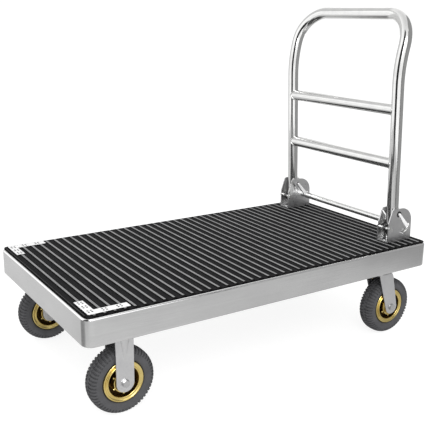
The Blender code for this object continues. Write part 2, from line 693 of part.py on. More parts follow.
def build_hinge_bracket(name, side):
    """A U of plate standing on the mat, with the pivot holes, the rod's slots and the latch slot."""
    center = side * HANDLE_Y
    half = BRACKET_HALF_WIDTH
    base_outline = [(BRACKET_FRONT, STAND), (BRACKET_REAR, STAND),
                    (BRACKET_REAR, BRACKET_BASE_TOP), (BRACKET_FRONT, BRACKET_BASE_TOP)]
    bracket = add_object(name, prism(base_outline, center - half, center + half), "zinc", 30)
    for label, direction in (("outer", side), ("inner", -side)):
        face = center + direction * half
        ear = prism(ear_outline(), face - direction * BRACKET_PLATE, face)
        combine(bracket, add_object(name + "_" + label + "_ear_guide", ear, "zinc"), "UNION")
    through = half + CUT_REACH

    def cut(label, data):
        combine(bracket, add_object(name + "_" + label + "_guide", data, "zinc"), "DIFFERENCE")

    pivot = arc((PIVOT_X, DECK_TOP + PIVOT_HEIGHT), PIVOT_RADIUS + GAP, 0, 337.5, 15)
    cut("pivot", prism(pivot, center - through, center + through))
    rod_slot = capsule((LOCK_ROD_X, DECK_TOP + LOCK_ROD_HEIGHT), lock_rod_swung(LOCK_SWING),
                       LOCK_ROD_RADIUS + ROD_SLOT_PLAY)
    cut("rod_slot", prism(rod_slot, center - through, center + through))
    for label, direction, radius in (("outer_bush", side, OUTER_BUSH_RADIUS),
                                     ("inner_bush", -side, INNER_BUSH_RADIUS)):
        hole = arc((LOCK_PIVOT_X, DECK_TOP + LOCK_PIVOT_HEIGHT), radius + GAP, 0, 345, 23)
        cut(label, prism(hole, center, center + direction * through))
    slot = [(x, DECK_TOP + height) for x, height in LATCH_SLOT]
    for label, start, end in (("upper", slot[0], slot[1]), ("lower", slot[1], slot[2])):
        stretch = capsule(start, end, LATCH_SLOT_RADIUS, 4)
        cut("latch_slot_" + label, prism(stretch, center, center - side * through))
    pin_x, pin_height = SPRING_ANCHOR
    outer_face = center + side * half
    pin = prism(arc((pin_x, DECK_TOP + pin_height), SPRING_PIN_RADIUS, 0, 315, 7),
                outer_face - side * WELD, outer_face + side * SPRING_PIN_REACH)
    combine(bracket, add_object(name + "_spring_pin_guide", pin, "zinc"), "UNION")


def build_hinge_bolt(name, side):
    length = 2 * (BRACKET_HALF_WIDTH + GAP)
    obj = bolt(name, PIVOT_RADIUS, length, PIVOT_HEAD_RADIUS, PIVOT_HEAD_LENGTH)
    place(obj, (PIVOT_X, side * HANDLE_Y, DECK_TOP + PIVOT_HEIGHT))


def build_bush(name, center, direction, outer):
    """A plastic ring in an ear, round the stub pin of a lock arm."""
    face = center + direction * BRACKET_HALF_WIDTH
    inner_face = face - direction * BRACKET_PLATE
    bore = STUB_RADIUS + GAP
    ring = [(inner_face, bore), (face, bore), (face, outer), (inner_face, outer)]
    bush = add_object(name, turned(ring, WHEEL_SEGMENTS), "plastic", 35)
    bush.location = (LOCK_PIVOT_X, 0.0, DECK_TOP + LOCK_PIVOT_HEIGHT)


def build_lock_arm(name, center, direction, pivot):
    """A flat arm on an ear's face, hung on its stub pin and welded to the lock rod."""
    inner = center + direction * (BRACKET_HALF_WIDTH + GAP)
    outer = inner + direction * LOCK_ARM_THICKNESS
    top = (LOCK_PIVOT_X, DECK_TOP + LOCK_PIVOT_HEIGHT)
    foot = (LOCK_ROD_X, DECK_TOP + LOCK_ROD_HEIGHT)
    heading = math.degrees(math.atan2(foot[1] - top[1], foot[0] - top[0]))
    outline = arc(foot, LOCK_ARM_FOOT_RADIUS, heading - 90, heading + 90, 6)
    outline += arc(top, LOCK_ARM_TOP_RADIUS, heading + 90, heading + 270, 6)
    arm = place(add_object(name, prism(outline, inner, outer), "bright", 30), parent=pivot)
    stub = turned([(center + direction * (BRACKET_HALF_WIDTH - BRACKET_PLATE), STUB_RADIUS),
                   (outer + direction * STUB_PROUD, STUB_RADIUS)], BORE_SEGMENTS, closed=False)
    stub_guide = add_object(name + "_stub_guide", stub, "bright")
    stub_guide.location = (top[0], 0.0, top[1])
    combine(arm, stub_guide, "UNION")
    bore = LOCK_ROD_RADIUS + GAP
    hole = turned([(inner - direction * CUT_REACH, bore), (outer + direction * CUT_REACH, bore)],
                  BORE_SEGMENTS, closed=False)
    hole_guide = add_object(name + "_hole_guide", hole, "bright")
    hole_guide.location = (foot[0], 0.0, foot[1])
    combine(arm, hole_guide, "DIFFERENCE")


def build_lock_bar(pivot):
    """The round foot bar between the brackets, a sleeve on the lock rod."""
    end_play = 0.001
    reach = HANDLE_Y - BRACKET_HALF_WIDTH - GAP - LOCK_ARM_THICKNESS - end_play
    bore = LOCK_ROD_RADIUS + GAP
    ring = [(-reach, bore), (reach, bore), (reach, LOCK_BAR_RADIUS), (-reach, LOCK_BAR_RADIUS)]
    bar = add_object("lock_bar", turned(ring, 20), "bright", 35)
    place(bar, (LOCK_ROD_X, 0.0, DECK_TOP + LOCK_ROD_HEIGHT), pivot)


def build_lock_rod(pivot):
    reach = HANDLE_Y + BRACKET_HALF_WIDTH + GAP + LOCK_ARM_THICKNESS + STUB_PROUD
    rod = turned([(-reach, LOCK_ROD_RADIUS), (reach, LOCK_ROD_RADIUS)], BORE_SEGMENTS, closed=False)
    obj = add_object("lock_rod", rod, "bright", 35)
    place(obj, (LOCK_ROD_X, 0.0, DECK_TOP + LOCK_ROD_HEIGHT), pivot)


def build_spring(name, side):
    """Tension spring on the outer ear, from the anchor pin up towards the rod's end."""
    anchor = Vector((SPRING_ANCHOR[0], 0.0, DECK_TOP + SPRING_ANCHOR[1]))
    rod_end = Vector((LOCK_ROD_X, 0.0, DECK_TOP + LOCK_ROD_HEIGHT))
    along = (rod_end - anchor).normalized()
    sideways = Vector((0.0, 1.0, 0.0))
    across = along.cross(sideways)
    pin_room = SPRING_PIN_RADIUS + 2.5 * SPRING_WIRE
    y = side * (HANDLE_Y + BRACKET_HALF_WIDTH + SPRING_RADIUS + 2 * SPRING_WIRE)
    start = anchor + along * pin_room + sideways * y
    length = (rod_end - anchor).length - pin_room - SPRING_END_ROOM
    steps = SPRING_TURNS * 8
    points = []
    for i in range(steps + 1):
        angle = 2.0 * math.pi * SPRING_TURNS * i / steps
        radial = across * math.cos(angle) + sideways * math.sin(angle)
        points.append(start + along * (length * i / steps) + radial * SPRING_RADIUS)
    normals = [along] * len(points)
    add_object(name, swept(points, normals, SPRING_WIRE, 4), "bright", 60)


# ---- assembly ------------------------------------------------------------------------------
build_tray()
build_mat()
for cross_name, cross_x in zip(("front", "middle", "rear"), CROSS_X):
    build_cross_member("cross_member_" + cross_name, cross_x)

handle_pivot = add_pivot("handle_pivot", (PIVOT_X, 0.0, DECK_TOP + PIVOT_HEIGHT))
build_handle_tube(handle_pivot)
for bar_name, bar_height in zip(("lower", "upper"), CROSS_BAR_HEIGHTS):
    build_cross_bar("cross_bar_" + bar_name, bar_height, handle_pivot)

lock_pivot = add_pivot("lock_pivot", (LOCK_PIVOT_X, 0.0, DECK_TOP + LOCK_PIVOT_HEIGHT))
build_lock_bar(lock_pivot)
build_lock_rod(lock_pivot)

for label, side in SIDES.items():
    build_corner_guard("corner_guard_" + label, side)
    build_rail("frame_rail_" + label, side)
    build_hinge_bracket("hinge_bracket_" + label, side)
    build_hinge_bolt("hinge_bolt_" + label, side)
    build_hinge_lug("hinge_lug_" + label, side, handle_pivot)
    build_spring("lock_spring_" + label, side)
    for ear, direction, outer in (("outer", side, OUTER_BUSH_RADIUS), ("inner", -side, INNER_BUSH_RADIUS)):
        build_bush("lock_bush_" + label + "_" + ear, side * HANDLE_Y, direction, outer)
        build_lock_arm("lock_arm_" + label + "_" + ear, side * HANDLE_Y, direction, lock_pivot)

    build_fixed_fork("fixed_fork_" + label, side)
    build_axle_bolt("front_axle_" + label, FIXED_WHEEL_X, side, None)
    build_wheel("front_" + label, FIXED_WHEEL_X, side, None)

    swivel = add_pivot("swivel_" + label, (KINGPIN_X, side * WHEEL_Y, CROWN_TOP))
    build_swivel_plate("swivel_plate_" + label, side)
    build_swivel_race("swivel_race_" + label, side)
    build_kingpin("kingpin_" + label, side)
    build_swivel_fork("swivel_fork_" + label, side, swivel)
    build_axle_bolt("rear_axle_" + label, SWIVEL_WHEEL_X, side, swivel)
    build_wheel("rear_" + label, SWIVEL_WHEEL_X, side, swivel)
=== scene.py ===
"""Looks of the flatbed platform truck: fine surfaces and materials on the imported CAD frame.

Metres, +Z up, +X towards the handle, -Y is the left side. The heights in CROSS_BAR_HEIGHTS,
EAR_KNEE_HEIGHT and LATCH_SLOT are over the tray's upper face.
"""
import json
import math

import bmesh
import bpy
from mathutils import Matrix, Vector


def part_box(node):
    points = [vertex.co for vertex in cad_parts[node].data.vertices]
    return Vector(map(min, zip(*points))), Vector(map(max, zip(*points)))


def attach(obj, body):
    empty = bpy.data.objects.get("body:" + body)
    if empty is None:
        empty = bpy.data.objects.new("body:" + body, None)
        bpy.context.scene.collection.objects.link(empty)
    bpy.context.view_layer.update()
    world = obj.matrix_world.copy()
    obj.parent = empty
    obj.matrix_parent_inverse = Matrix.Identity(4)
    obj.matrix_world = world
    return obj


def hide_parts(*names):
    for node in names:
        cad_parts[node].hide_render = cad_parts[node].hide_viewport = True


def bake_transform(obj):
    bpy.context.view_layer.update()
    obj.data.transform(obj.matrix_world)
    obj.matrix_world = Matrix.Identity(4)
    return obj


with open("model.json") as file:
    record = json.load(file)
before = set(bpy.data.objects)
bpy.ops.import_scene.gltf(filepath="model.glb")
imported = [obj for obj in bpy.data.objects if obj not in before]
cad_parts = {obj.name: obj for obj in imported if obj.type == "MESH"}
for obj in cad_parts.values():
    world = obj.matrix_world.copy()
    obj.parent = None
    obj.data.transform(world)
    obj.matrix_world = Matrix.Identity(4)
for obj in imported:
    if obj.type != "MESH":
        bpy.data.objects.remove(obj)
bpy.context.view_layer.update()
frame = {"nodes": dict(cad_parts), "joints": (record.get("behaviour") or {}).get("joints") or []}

# ---- driving dimensions, from the frame where it holds them ---------------------------------
JOINT = {joint["name"]: Vector(joint["pos_m"]) for joint in frame["joints"]}
SIDES = {"left": -1.0, "right": 1.0}
TRAY_LOW, TRAY_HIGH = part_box("deck_tray")
DECK_TOP = TRAY_HIGH.z
HALF_LENGTH = TRAY_HIGH.x
HALF_WIDTH = TRAY_HIGH.y
SHEET = 0.002
TRAY_CORNER_RADIUS = 0.025
TRAY_EDGE_BEND = 0.005
TRAY_LIP_BEND = 0.003
RETURN_FLANGE = 0.008
GAP = 0.0003

MAT_LOW, MAT_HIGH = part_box("anti_slip_mat")
MAT_SURFACE = DECK_TOP + 0.003
MAT_CORNER_RADIUS = 0.014
MAT_BEAD_INSET = 0.0035
MAT_BEAD_WIDTH = 0.0016
MAT_BEAD_RISE = 0.0011
RIDGE_COUNT = 42
RIDGE_PITCH = 0.0254
RIDGE_WIDTH = 0.0075
RIDGE_END_MARGIN = 0.005
RIDGE_SHADE_WIDTH = 0.0030             # painted shade beside each ridge
DIAMOND_SIZE = 0.0034             # moulded pattern between the ridges

GUARD_WIDTH = 0.0225
GUARD_OUTER_RADIUS = 0.004
GUARD_INNER_RADIUS = 0.002
GUARD_RIVETS_ACROSS = (0.0165, 0.0455, 0.0715)
GUARD_RIVETS_ALONG = (0.0450, 0.0820)
GUARD_RIVET_SPACING = 0.0085

PIVOT = JOINT["handle_fold"]
LOCK_PIVOT = JOINT["lock_release"]
HANDLE_Y = 0.233
HANDLE_X = 0.4647                  # upright's centre line at the level of the tray's upper face
HANDLE_LEAN = -0.045
HANDLE_BEND_START = 0.458
HANDLE_BEND_RADIUS = 0.369
HANDLE_CORNER_RADIUS = 0.097
HANDLE_REACH = 0.6676
TUBE_RADIUS = 0.017
TUBE_WALL = 0.002
CROSS_BAR_RADIUS = 0.0165
CROSS_BAR_HEIGHTS = {"lower": 0.237, "upper": 0.393}
WELD_BEAD = 0.0019
LUG_FRONT = 0.450
LUG_BACK = 0.484
LUG_EYE_RADIUS = 0.009

BRACKET_LOW, BRACKET_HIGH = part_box("hinge_bracket_left")
BRACKET_HALF_WIDTH = 0.0215
BRACKET_PLATE = 0.0035
EAR_BACK_RADIUS = 0.043
EAR_KNEE_HEIGHT = 0.064
EAR_KNEE_RUN = 0.013
LATCH_SLOT = ((0.4395, 0.096), (0.4535, 0.080), (0.4525, 0.068))
LATCH_SLOT_RADIUS = 0.0026
PIVOT_RADIUS = 0.005
LOCK_ROD = Vector((0.505, 0.0, DECK_TOP + 0.044))
LOCK_ROD_RADIUS = 0.005
LOCK_BAR_RADIUS = 0.010
LOCK_ARM_THICKNESS = 0.004
LOCK_ARM_RADII = {"foot": 0.0068, "top": 0.0036}
LOCK_SWING = math.radians(8.0)
STUB_RADIUS = 0.0035
BUSH_RADII = {"outer": 0.0092, "inner": 0.0055}
SPRING_ANCHOR = Vector((0.4835, 0.0, DECK_TOP + 0.028))
SPRING_PIN_RADIUS = 0.002
SPRING_RADIUS = 0.0032
SPRING_WIRE = 0.0006
SPRING_TURNS = 9
SPRING_START = 0.0042              # from the anchor pin's middle to the first turn
SPRING_END_ROOM = 0.0100           # from the last turn to the lock rod's middle

WHEEL_RADIUS = JOINT["front_left_roll"].z
WHEEL_Y = JOINT["front_right_roll"].y
FIXED_WHEEL_X = JOINT["front_left_roll"].x
SWIVEL_WHEEL_X = JOINT["rear_left_roll"].x
KINGPIN_X = JOINT["swivel_left_turn"].x
LEG_INNER = 0.0275
LEG_THICKNESS = 0.0035
FIXED_LEG_HALF_WIDTH = 0.0235
PLATE_LOW, PLATE_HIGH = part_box("swivel_plate_left")
PLATE_HALF_X = (PLATE_HIGH.x - PLATE_LOW.x) / 2
PLATE_HALF_Y = (PLATE_HIGH.y - PLATE_LOW.y) / 2
CROWN_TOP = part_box("swivel_fork_left")[1].z
CROWN_THICKNESS = 0.004
CROWN_RADIUS = 0.038
AXLE_RADIUS = 0.006
AXLE_BORE = AXLE_RADIUS + GAP
RIB_APEX = 0.142                   # height of the pressed rib's lower tip

FLOOR_RADIUS = 40.0
SKY = ((0.0, 1.02), (0.10, 1.05), (0.35, 1.25), (0.65, 1.05), (1.0, 0.80))   # sine of elevation, tone

TURN = 2.0 * math.pi


# ---- materials ------------------------------------------------------------------------------
def grey(tone):
    return (tone, tone, tone)


def set_stops(ramp, stops):
    """Gives a colour ramp node its (position, colour) stops."""
    elements = ramp.color_ramp.elements
    while len(elements) < len(stops):
        elements.new(0.5)
    for element, (position, color) in zip(elements, stops):
        element.position = position
        element.color = (*color, 1.0)


class Nodes:
    """A material's node tree, with short calls for the few patterns that the finishes share."""

    def __init__(self, name, color, roughness, metallic=0.0, **constants):
        self.material = bpy.data.materials.new(name)
        self.material.use_nodes = True
        self.tree = self.material.node_tree
        self.shader = self.tree.nodes["Principled BSDF"]
        self.set(self.shader, Base_Color=(*color, 1.0), Roughness=roughness, Metallic=metallic, **constants)
        self.place = self.add("TexCoord").outputs["Object"]
        self.relief = None

    def fill(self, socket, value):
        """Links a socket to another node's output, or gives it a constant."""
        if isinstance(value, bpy.types.NodeSocket):
            self.tree.links.new(value, socket)
        else:
            socket.default_value = value

    def set(self, node, **values):
        """Fills the sockets of these names, written with _ for each space."""
        for name, value in values.items():
            self.fill(node.inputs[name.replace("_", " ")], value)
        return node

    def add(self, kind, **values):
        return self.set(self.tree.nodes.new("ShaderNode" + kind), **values)

    def use_path(self):
        """Patterns follow a swept piece's own length and girth instead of the object's axes."""
        path = self.add("UVMap")
        path.uv_map = "path"
        self.place = path.outputs["UV"]

    def stretched(self, grains):
        scale = grains if isinstance(grains, tuple) else grey(grains)
        return self.add("Mapping", Scale=scale, Vector=self.place).outputs["Vector"]

    def noise(self, grains, detail=3.0, roughness=0.55):
        """Noise with this many grains per metre, the same all ways or (x, y, z)."""
        vector = self.stretched(grains)
        node = self.add("TexNoise", Scale=1.0, Detail=detail, Roughness=roughness, Vector=vector)
        return node.outputs["Fac"]

    def cells(self, grains):
        return self.add("TexVoronoi", Scale=1.0, Vector=self.stretched(grains)).outputs["Distance"]

    def coordinate(self, axis):
        return self.add("SeparateXYZ", Vector=self.place).outputs[axis]

    def math(self, operation, *values):
        node = self.add("Math")
        node.operation = operation
        for socket, value in zip(node.inputs, values):
            self.fill(socket, value)
        return node.outputs["Value"]

    def times(self, first, second):
        return self.math("MULTIPLY", first, second)

    def weighted(self, first, first_weight, second, second_weight):
        return self.math("ADD", self.times(first, first_weight), self.times(second, second_weight))

    def spread(self, source, low, high, to_low, to_high):
        """Maps low..high of a pattern to to_low..to_high, clamped."""
        limits = {"From_Min": low, "From_Max": high, "To_Min": to_low, "To_Max": to_high}
        return self.add("MapRange", Value=source, **limits).outputs["Result"]

    def color(self, source, *stops):
        """Colours the surface by a pattern, through (position, colour) stops."""
        ramp = self.add("ValToRGB", Fac=source)
        set_stops(ramp, stops)
        self.set(self.shader, Base_Color=ramp.outputs["Color"])

    def roughness(self, source, *limits):
        self.set(self.shader, Roughness=self.spread(source, *limits))

    def bump(self, source, strength, depth):
        """Adds relief of the given depth in metres on top of what is there already."""
        node = self.add("Bump", Strength=strength, Distance=depth, Height=source)
        if self.relief is not None:
            self.set(node, Normal=self.relief)
        self.relief = node.outputs["Normal"]
        self.set(self.shader, Normal=self.relief)


def brushed_sheet(name, tone, grain, low_roughness, high_roughness, polish_and_highlight_above=None):
    """Brushed stainless sheet; grain gives the brush lines' grains per metre along x, y and z.

    Above the given height the bend of the sheet is polished smoother, and its colour is painted near white
    as a painted highlight.
    """
    nodes = Nodes(name, grey(tone), low_roughness, 1.0)
    lines = nodes.noise(grain, 4.0, 0.7)
    brushed = nodes.weighted(lines, 0.6, nodes.noise((9.0, 9.0, 14.0)), 0.4)
    nodes.bump(lines, 0.12, 0.0001)
    stops = [(0.30, grey(tone * 0.90)), (0.70, grey(tone * 1.07))]
    if polish_and_highlight_above is None:
        nodes.color(brushed, *stops)
        nodes.roughness(brushed, 0.3, 0.7, low_roughness, high_roughness)
        return nodes.material
    # painted highlight: up the bend the colour goes near white, and the roughness drops as on a polished
    # edge
    polish_and_painted_highlight = nodes.spread(nodes.coordinate("Z"), polish_and_highlight_above, polish_and_highlight_above + 0.0015, 0.0, 1.0)
    brushed = nodes.math("MAXIMUM", nodes.math("MINIMUM", brushed, 0.75), polish_and_painted_highlight)
    nodes.color(brushed, *stops, (1.0, grey(0.99)))
    nodes.roughness(polish_and_painted_highlight, 0.0, 1.0, (low_roughness + high_roughness) / 2, 0.16)
    return nodes.material


def polished_tube():
    """Polished stainless tube with faint lengthwise polishing lines and handling marks."""
    nodes = Nodes("stainless_tube", (0.80, 0.80, 0.79), 0.16, 1.0)
    nodes.use_path()
    lines = nodes.noise((6.0, 900.0, 1.0), 3.0, 0.6)
    marks = nodes.noise((30.0, 60.0, 1.0), 5.0, 0.65)
    nodes.color(marks, (0.25, grey(0.74)), (0.60, (0.83, 0.83, 0.82)))
    nodes.roughness(nodes.times(lines, marks), 0.15, 0.45, 0.07, 0.15)
    nodes.bump(lines, 0.10, 0.00004)
    return nodes.material


def plated_steel(name, tone, roughness):
    """Zinc plate on pressed steel: soft crystalline patches and a fine satin grain."""
    nodes = Nodes(name, (tone, tone, tone * 1.01), roughness, 1.0)
    patches = nodes.weighted(nodes.cells(160.0), 0.25, nodes.noise(30.0), 0.75)
    nodes.color(patches, (0.25, (tone * 0.94, tone * 0.94, tone * 0.955)), (0.65, grey(tone * 1.04)))
    nodes.roughness(patches, 0.25, 0.65, roughness - 0.03, roughness + 0.05)
    nodes.bump(nodes.noise(900.0), 0.10, 0.00004)
    return nodes.material


def mat_rubber():
    """Black rubber mat: moulded diamonds in the channels, painted shade beside each ridge, and ridge tops
    painted light grey as sheen, patchy as from wear.
    """
    nodes = Nodes("mat_rubber", (0.012, 0.012, 0.013), 0.70, Specular_IOR_Level=0.07)
    x = nodes.coordinate("X")
    y = nodes.coordinate("Y")
    top = nodes.spread(nodes.coordinate("Z"), MAT_SURFACE + 0.0009, MAT_HIGH.z - 0.0001, 0.0, 1.0)
    # painted sheen: the ridge tops are coloured light grey, patchy as from wear
    sheen_and_wear = nodes.spread(nodes.noise((70.0, 26.0, 1.0), 4.0, 0.6), 0.25, 0.62, 0.72, 1.0)
    share = nodes.math("FRACT", nodes.math("DIVIDE", x, RIDGE_PITCH))
    from_ridge = nodes.math("ABSOLUTE", nodes.math("SUBTRACT", share, 0.5))
    # painted shade: a near black band along each ridge and beside it
    shade_end = (RIDGE_WIDTH / 2 + RIDGE_SHADE_WIDTH) / RIDGE_PITCH
    channel_tone = 0.12
    channel = nodes.spread(from_ridge, shade_end - 0.02, shade_end + 0.02, 0.0, channel_tone)
    tone = nodes.math("ADD", channel, nodes.times(nodes.times(top, sheen_and_wear), 1.0 - channel_tone))
    channel_color = (0.009, 0.009, 0.010)
    nodes.color(tone, (0.0, grey(0.002)), (channel_tone, channel_color), (1.0, (0.310, 0.310, 0.312)))
    nodes.roughness(top, 0.0, 1.0, 0.68, 0.50)
    waves = []
    for sign in (1.0, -1.0):
        slanted = nodes.math("ADD", nodes.times(x, sign), y)
        waves.append(nodes.math("SINE", nodes.times(slanted, TURN / DIAMOND_SIZE)))
    diamonds = nodes.times(waves[0], waves[1])
    nodes.bump(nodes.times(diamonds, nodes.math("SUBTRACT", 1.0, top)), 0.5, 0.0004)
    nodes.bump(nodes.noise(1400.0), 0.25, 0.0001)
    return nodes.material


def patchy(nodes, patches, stops, roughness, grain):
    """Soft patches of tone and roughness with a fine grained relief.

    patches holds what noise() takes, roughness the limits of spread(), and grain the relief's
    grains per metre, detail, strength and depth.
    """
    drift = nodes.noise(*patches)
    nodes.color(drift, *stops)
    nodes.roughness(drift, *roughness)
    grains, detail, strength, depth = grain
    nodes.bump(nodes.noise(grains, detail), strength, depth)
    return nodes.material


def bright_hardware():
    return patchy(Nodes("bright_zinc", (0.86, 0.86, 0.85), 0.18, 1.0), (220.0, 4.0),
                  ((0.30, (0.76, 0.77, 0.78)), (0.62, (0.90, 0.90, 0.88))),
                  (0.3, 0.7, 0.12, 0.30), (1500.0, 2.0, 0.10, 0.00004))


def white_zinc():
    """Dull white zinc coat of the lock's arms."""
    return patchy(Nodes("white_zinc", grey(0.93), 0.38, 0.25), (180.0, 4.0),
                  ((0.28, (0.80, 0.80, 0.81)), (0.60, grey(0.95))),
                  (0.3, 0.7, 0.30, 0.48), (1300.0, 2.0, 0.10, 0.00004))


def black_plastic():
    return patchy(Nodes("black_plastic", (0.016, 0.016, 0.017), 0.42), (1200.0, 2.0),
                  ((0.3, (0.012, 0.012, 0.013)), (0.7, (0.022, 0.022, 0.023))),
                  (0.3, 0.7, 0.36, 0.50), (1200.0, 2.0, 0.2, 0.00006))


def white_enamel():
    nodes = Nodes("white_enamel", grey(0.86), 0.32, 0.0, Coat_Weight=0.25, Coat_Roughness=0.15)
    return patchy(nodes, ((60.0, 220.0, 60.0), 5.0, 0.7), ((0.22, (0.66, 0.66, 0.65)), (0.40, grey(0.88))),
                  (0.25, 0.60, 0.45, 0.28), (800.0, 2.0, 0.08, 0.00005))


def tyre_rubber():
    return patchy(Nodes("tyre_rubber", (0.072, 0.072, 0.076), 0.72), (45.0, 5.0, 0.65),
                  ((0.28, (0.046, 0.046, 0.049)), (0.72, (0.076, 0.076, 0.081))),
                  (0.3, 0.7, 0.62, 0.82), (1100.0, 3.0, 0.22, 0.00012))


def gold_finish(name, low, high, roughness):
    """Gold passivated pressed steel, a little uneven as the bath leaves it."""
    return patchy(Nodes(name, high, roughness, 1.0), (40.0, 4.0, 0.6), ((0.30, low), (0.65, high)),
                  (0.3, 0.7, roughness - 0.05, roughness + 0.10), (700.0, 2.0, 0.08, 0.00005))


FINISH = {
    # the tray's upper bend carries a painted highlight
    "tray_steel": brushed_sheet("tray_stainless", 0.78, (5.0, 5.0, 1100.0), 0.20, 0.28, DECK_TOP - 0.005),
    "rail_steel": brushed_sheet("rail_steel", 0.46, (4.0, 500.0, 500.0), 0.36, 0.52),
    "tube_stainless": polished_tube(),
    "plated_steel": plated_steel("plated_steel", 0.71, 0.34),
    "hinge_steel": plated_steel("hinge_steel", 0.72, 0.28),
    # painted shade: the lug is coloured dark for the shade inside the bracket
    "lug_painted_shade": plated_steel("lug_painted_shade", 0.16, 0.45),
    "lock_zinc": white_zinc(),
    "bolt_zinc": plated_steel("bolt_zinc", 0.60, 0.24),
    "hardware_bright": bright_hardware(),
    "mat_rubber": mat_rubber(),
    "black_plastic": black_plastic(),
    "guard_white": white_enamel(),
    "tyre_rubber": tyre_rubber(),
    "rim_gold": gold_finish("rim_gold", (0.74, 0.56, 0.19), (0.93, 0.75, 0.30), 0.16),
    # painted shade: the rims' recesses are a gold darkened nearly to black
    "rim_recess_painted_shade": gold_finish("rim_recess_painted_shade", (0.020, 0.012, 0.005), (0.045, 0.028, 0.011), 0.40),
}


# ---- mesh tools -----------------------------------------------------------------------------
PLANES = {
    "XZ": lambda a, b, depth: Vector((a, depth, b)),
    "XY": lambda a, b, depth: Vector((a, b, depth)),
}


def add_object(name, data, material):
    """Turns a bmesh into an object of one material."""
    mesh = bpy.data.meshes.new(name)
    data.to_mesh(mesh)
    data.free()
    mesh.materials.append(material)
    obj = bpy.data.objects.new(name, mesh)
    bpy.context.scene.collection.objects.link(obj)
    return obj


def put(name, data, finish, body, stands_for=(), angle=38):
    """A smooth shaded piece that rides on a body, if one is named, and may stand for CAD nodes."""
    bmesh.ops.recalc_face_normals(data, faces=data.faces)
    obj = add_object(name, data, FINISH[finish])
    obj.data.shade_smooth()
    obj.data.set_sharp_from_angle(angle=math.radians(angle))
    obj.modifiers.new("normals", "WEIGHTED_NORMAL").keep_sharp = True
    if body:
        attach(obj, body)
    if stands_for:
        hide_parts(*stands_for)
    return obj


def bridge(data, rings, closed=False, wrap=True):
    """Faces between successive rings of vertices; wrap closes each ring on itself."""
    pairs = list(zip(rings, rings[1:]))
    if closed:
        pairs.append((rings[-1], rings[0]))
    for ring, following in pairs:
        count = len(ring)
        for i in range(count if wrap else count - 1):
            j = (i + 1) % count
            corners = list(dict.fromkeys((ring[i], ring[j], following[j], following[i])))
            if len(corners) > 2:
                data.faces.new(corners)


def add_block(data, rings):
    """Bridged rings with a face over each end."""
    bridge(data, rings)
    data.faces.new(rings[0])
    data.faces.new(rings[-1])


def arc(center, radius, start, end, steps):
    """Points on an arc, angles in degrees."""
    points = []
    for i in range(steps + 1):
        angle = math.radians(start + (end - start) * i / steps)
        points.append((center[0] + radius * math.cos(angle), center[1] + radius * math.sin(angle)))
    return points


def circle(center, radius, steps=32):
    return arc(center, radius, 0, 360 - 360 / steps, steps - 1)


def quarter(steps):
    """Sine and cosine at even steps of a quarter turn."""
    turns = [math.pi / 2 * i / steps for i in range(steps + 1)]
    return [(math.sin(turn), math.cos(turn)) for turn in turns]


def straight(start, end, steps):
    """Evenly spaced points from start to end."""
    return [Vector(start).lerp(Vector(end), i / steps) for i in range(steps + 1)]


def rounded_rectangle(half_x, half_y, radius, steps=6):
    points = []
    for sign_x, sign_y, start in ((1, 1, 0), (-1, 1, 90), (-1, -1, 180), (1, -1, 270)):
        center = (sign_x * (half_x - radius), sign_y * (half_y - radius))
        points += arc(center, radius, start, start + 90, steps)
    return points


def capsule(start, end, radius, steps=10):
    """Outline of a slot with round ends between two points."""
    heading = math.degrees(math.atan2(end[1] - start[1], end[0] - start[0]))
    points = arc(end, radius, heading - 90, heading + 90, steps)
    points += arc(start, radius, heading + 90, heading + 270, steps)
    return points


def counter_clockwise(points):
    area = 0.0
    for (x0, y0), (x1, y1) in zip(points, points[1:] + points[:1]):
        area += x0 * y1 - x1 * y0
    return list(points) if area > 0 else list(reversed(points))


def inset(points, distance):
    """Moves each side of a counter-clockwise outline inwards, or outwards if negative."""
    moved = []
    count = len(points)
    for i in range(count):
        before = Vector(points[i - 1])
        here = Vector(points[i])
        after = Vector(points[(i + 1) % count])
        arriving = (here - before).normalized()
        leaving = (after - here).normalized()
        normals = Vector((-arriving.y - leaving.y, arriving.x + leaving.x))
        scale = max(0.3, 1.0 + arriving.dot(leaving))
        moved.append(here + normals * (distance / scale))
    return moved


def add_plate(data, outline, low, high, plane, holes=(), edge=0.0005, steps=2):
    """A plate between two depths, in either order, in one of the PLANES; all edges are rounded."""
    low, high = min(low, high), max(low, high)
    levels = [(edge * (1 - sine), low + edge * (1 - cosine)) for sine, cosine in quarter(steps)]
    levels += [(shift, low + high - depth) for shift, depth in reversed(levels)]
    first_edges = []
    last_edges = []
    for points, sign in [(outline, 1.0)] + [(hole, -1.0) for hole in holes]:
        points = counter_clockwise(points)
        rings = []
        for shift, depth in levels:
            moved = inset(points, sign * shift)
            rings.append([data.verts.new(PLANES[plane](p[0], p[1], depth)) for p in moved])
        bridge(data, rings)
        for ring, edges in ((rings[0], first_edges), (rings[-1], last_edges)):
            edges += [data.edges.get((ring[i - 1], ring[i])) for i in range(len(ring))]
    for edges in (first_edges, last_edges):
        bmesh.ops.triangle_fill(data, use_beauty=True, use_dissolve=True, edges=edges)


def add_turned(data, profile, matrix, segments=48, closed=False):
    """Spins (along, radius) points round the matrix's Z axis; radius 0 closes to a point."""
    rings = []
    for along, radius in profile:
        if radius < 1e-7:
            tip = data.verts.new(matrix @ Vector((0.0, 0.0, along)))
            rings.append([tip] * segments)
            continue
        ring = []
        for i in range(segments):
            angle = TURN * i / segments
            point = Vector((radius * math.cos(angle), radius * math.sin(angle), along))
            ring.append(data.verts.new(matrix @ point))
        rings.append(ring)
    bridge(data, rings, closed)


def facing(position, direction):
    """A frame at position with its Z axis along direction."""
    rotation = Vector(direction).to_track_quat("Z", "Y").to_matrix().to_4x4()
    return Matrix.Translation(Vector(position)) @ rotation


def along_y(x, y, z, direction=1.0):
    return facing((x, y, z), (0, direction, 0))


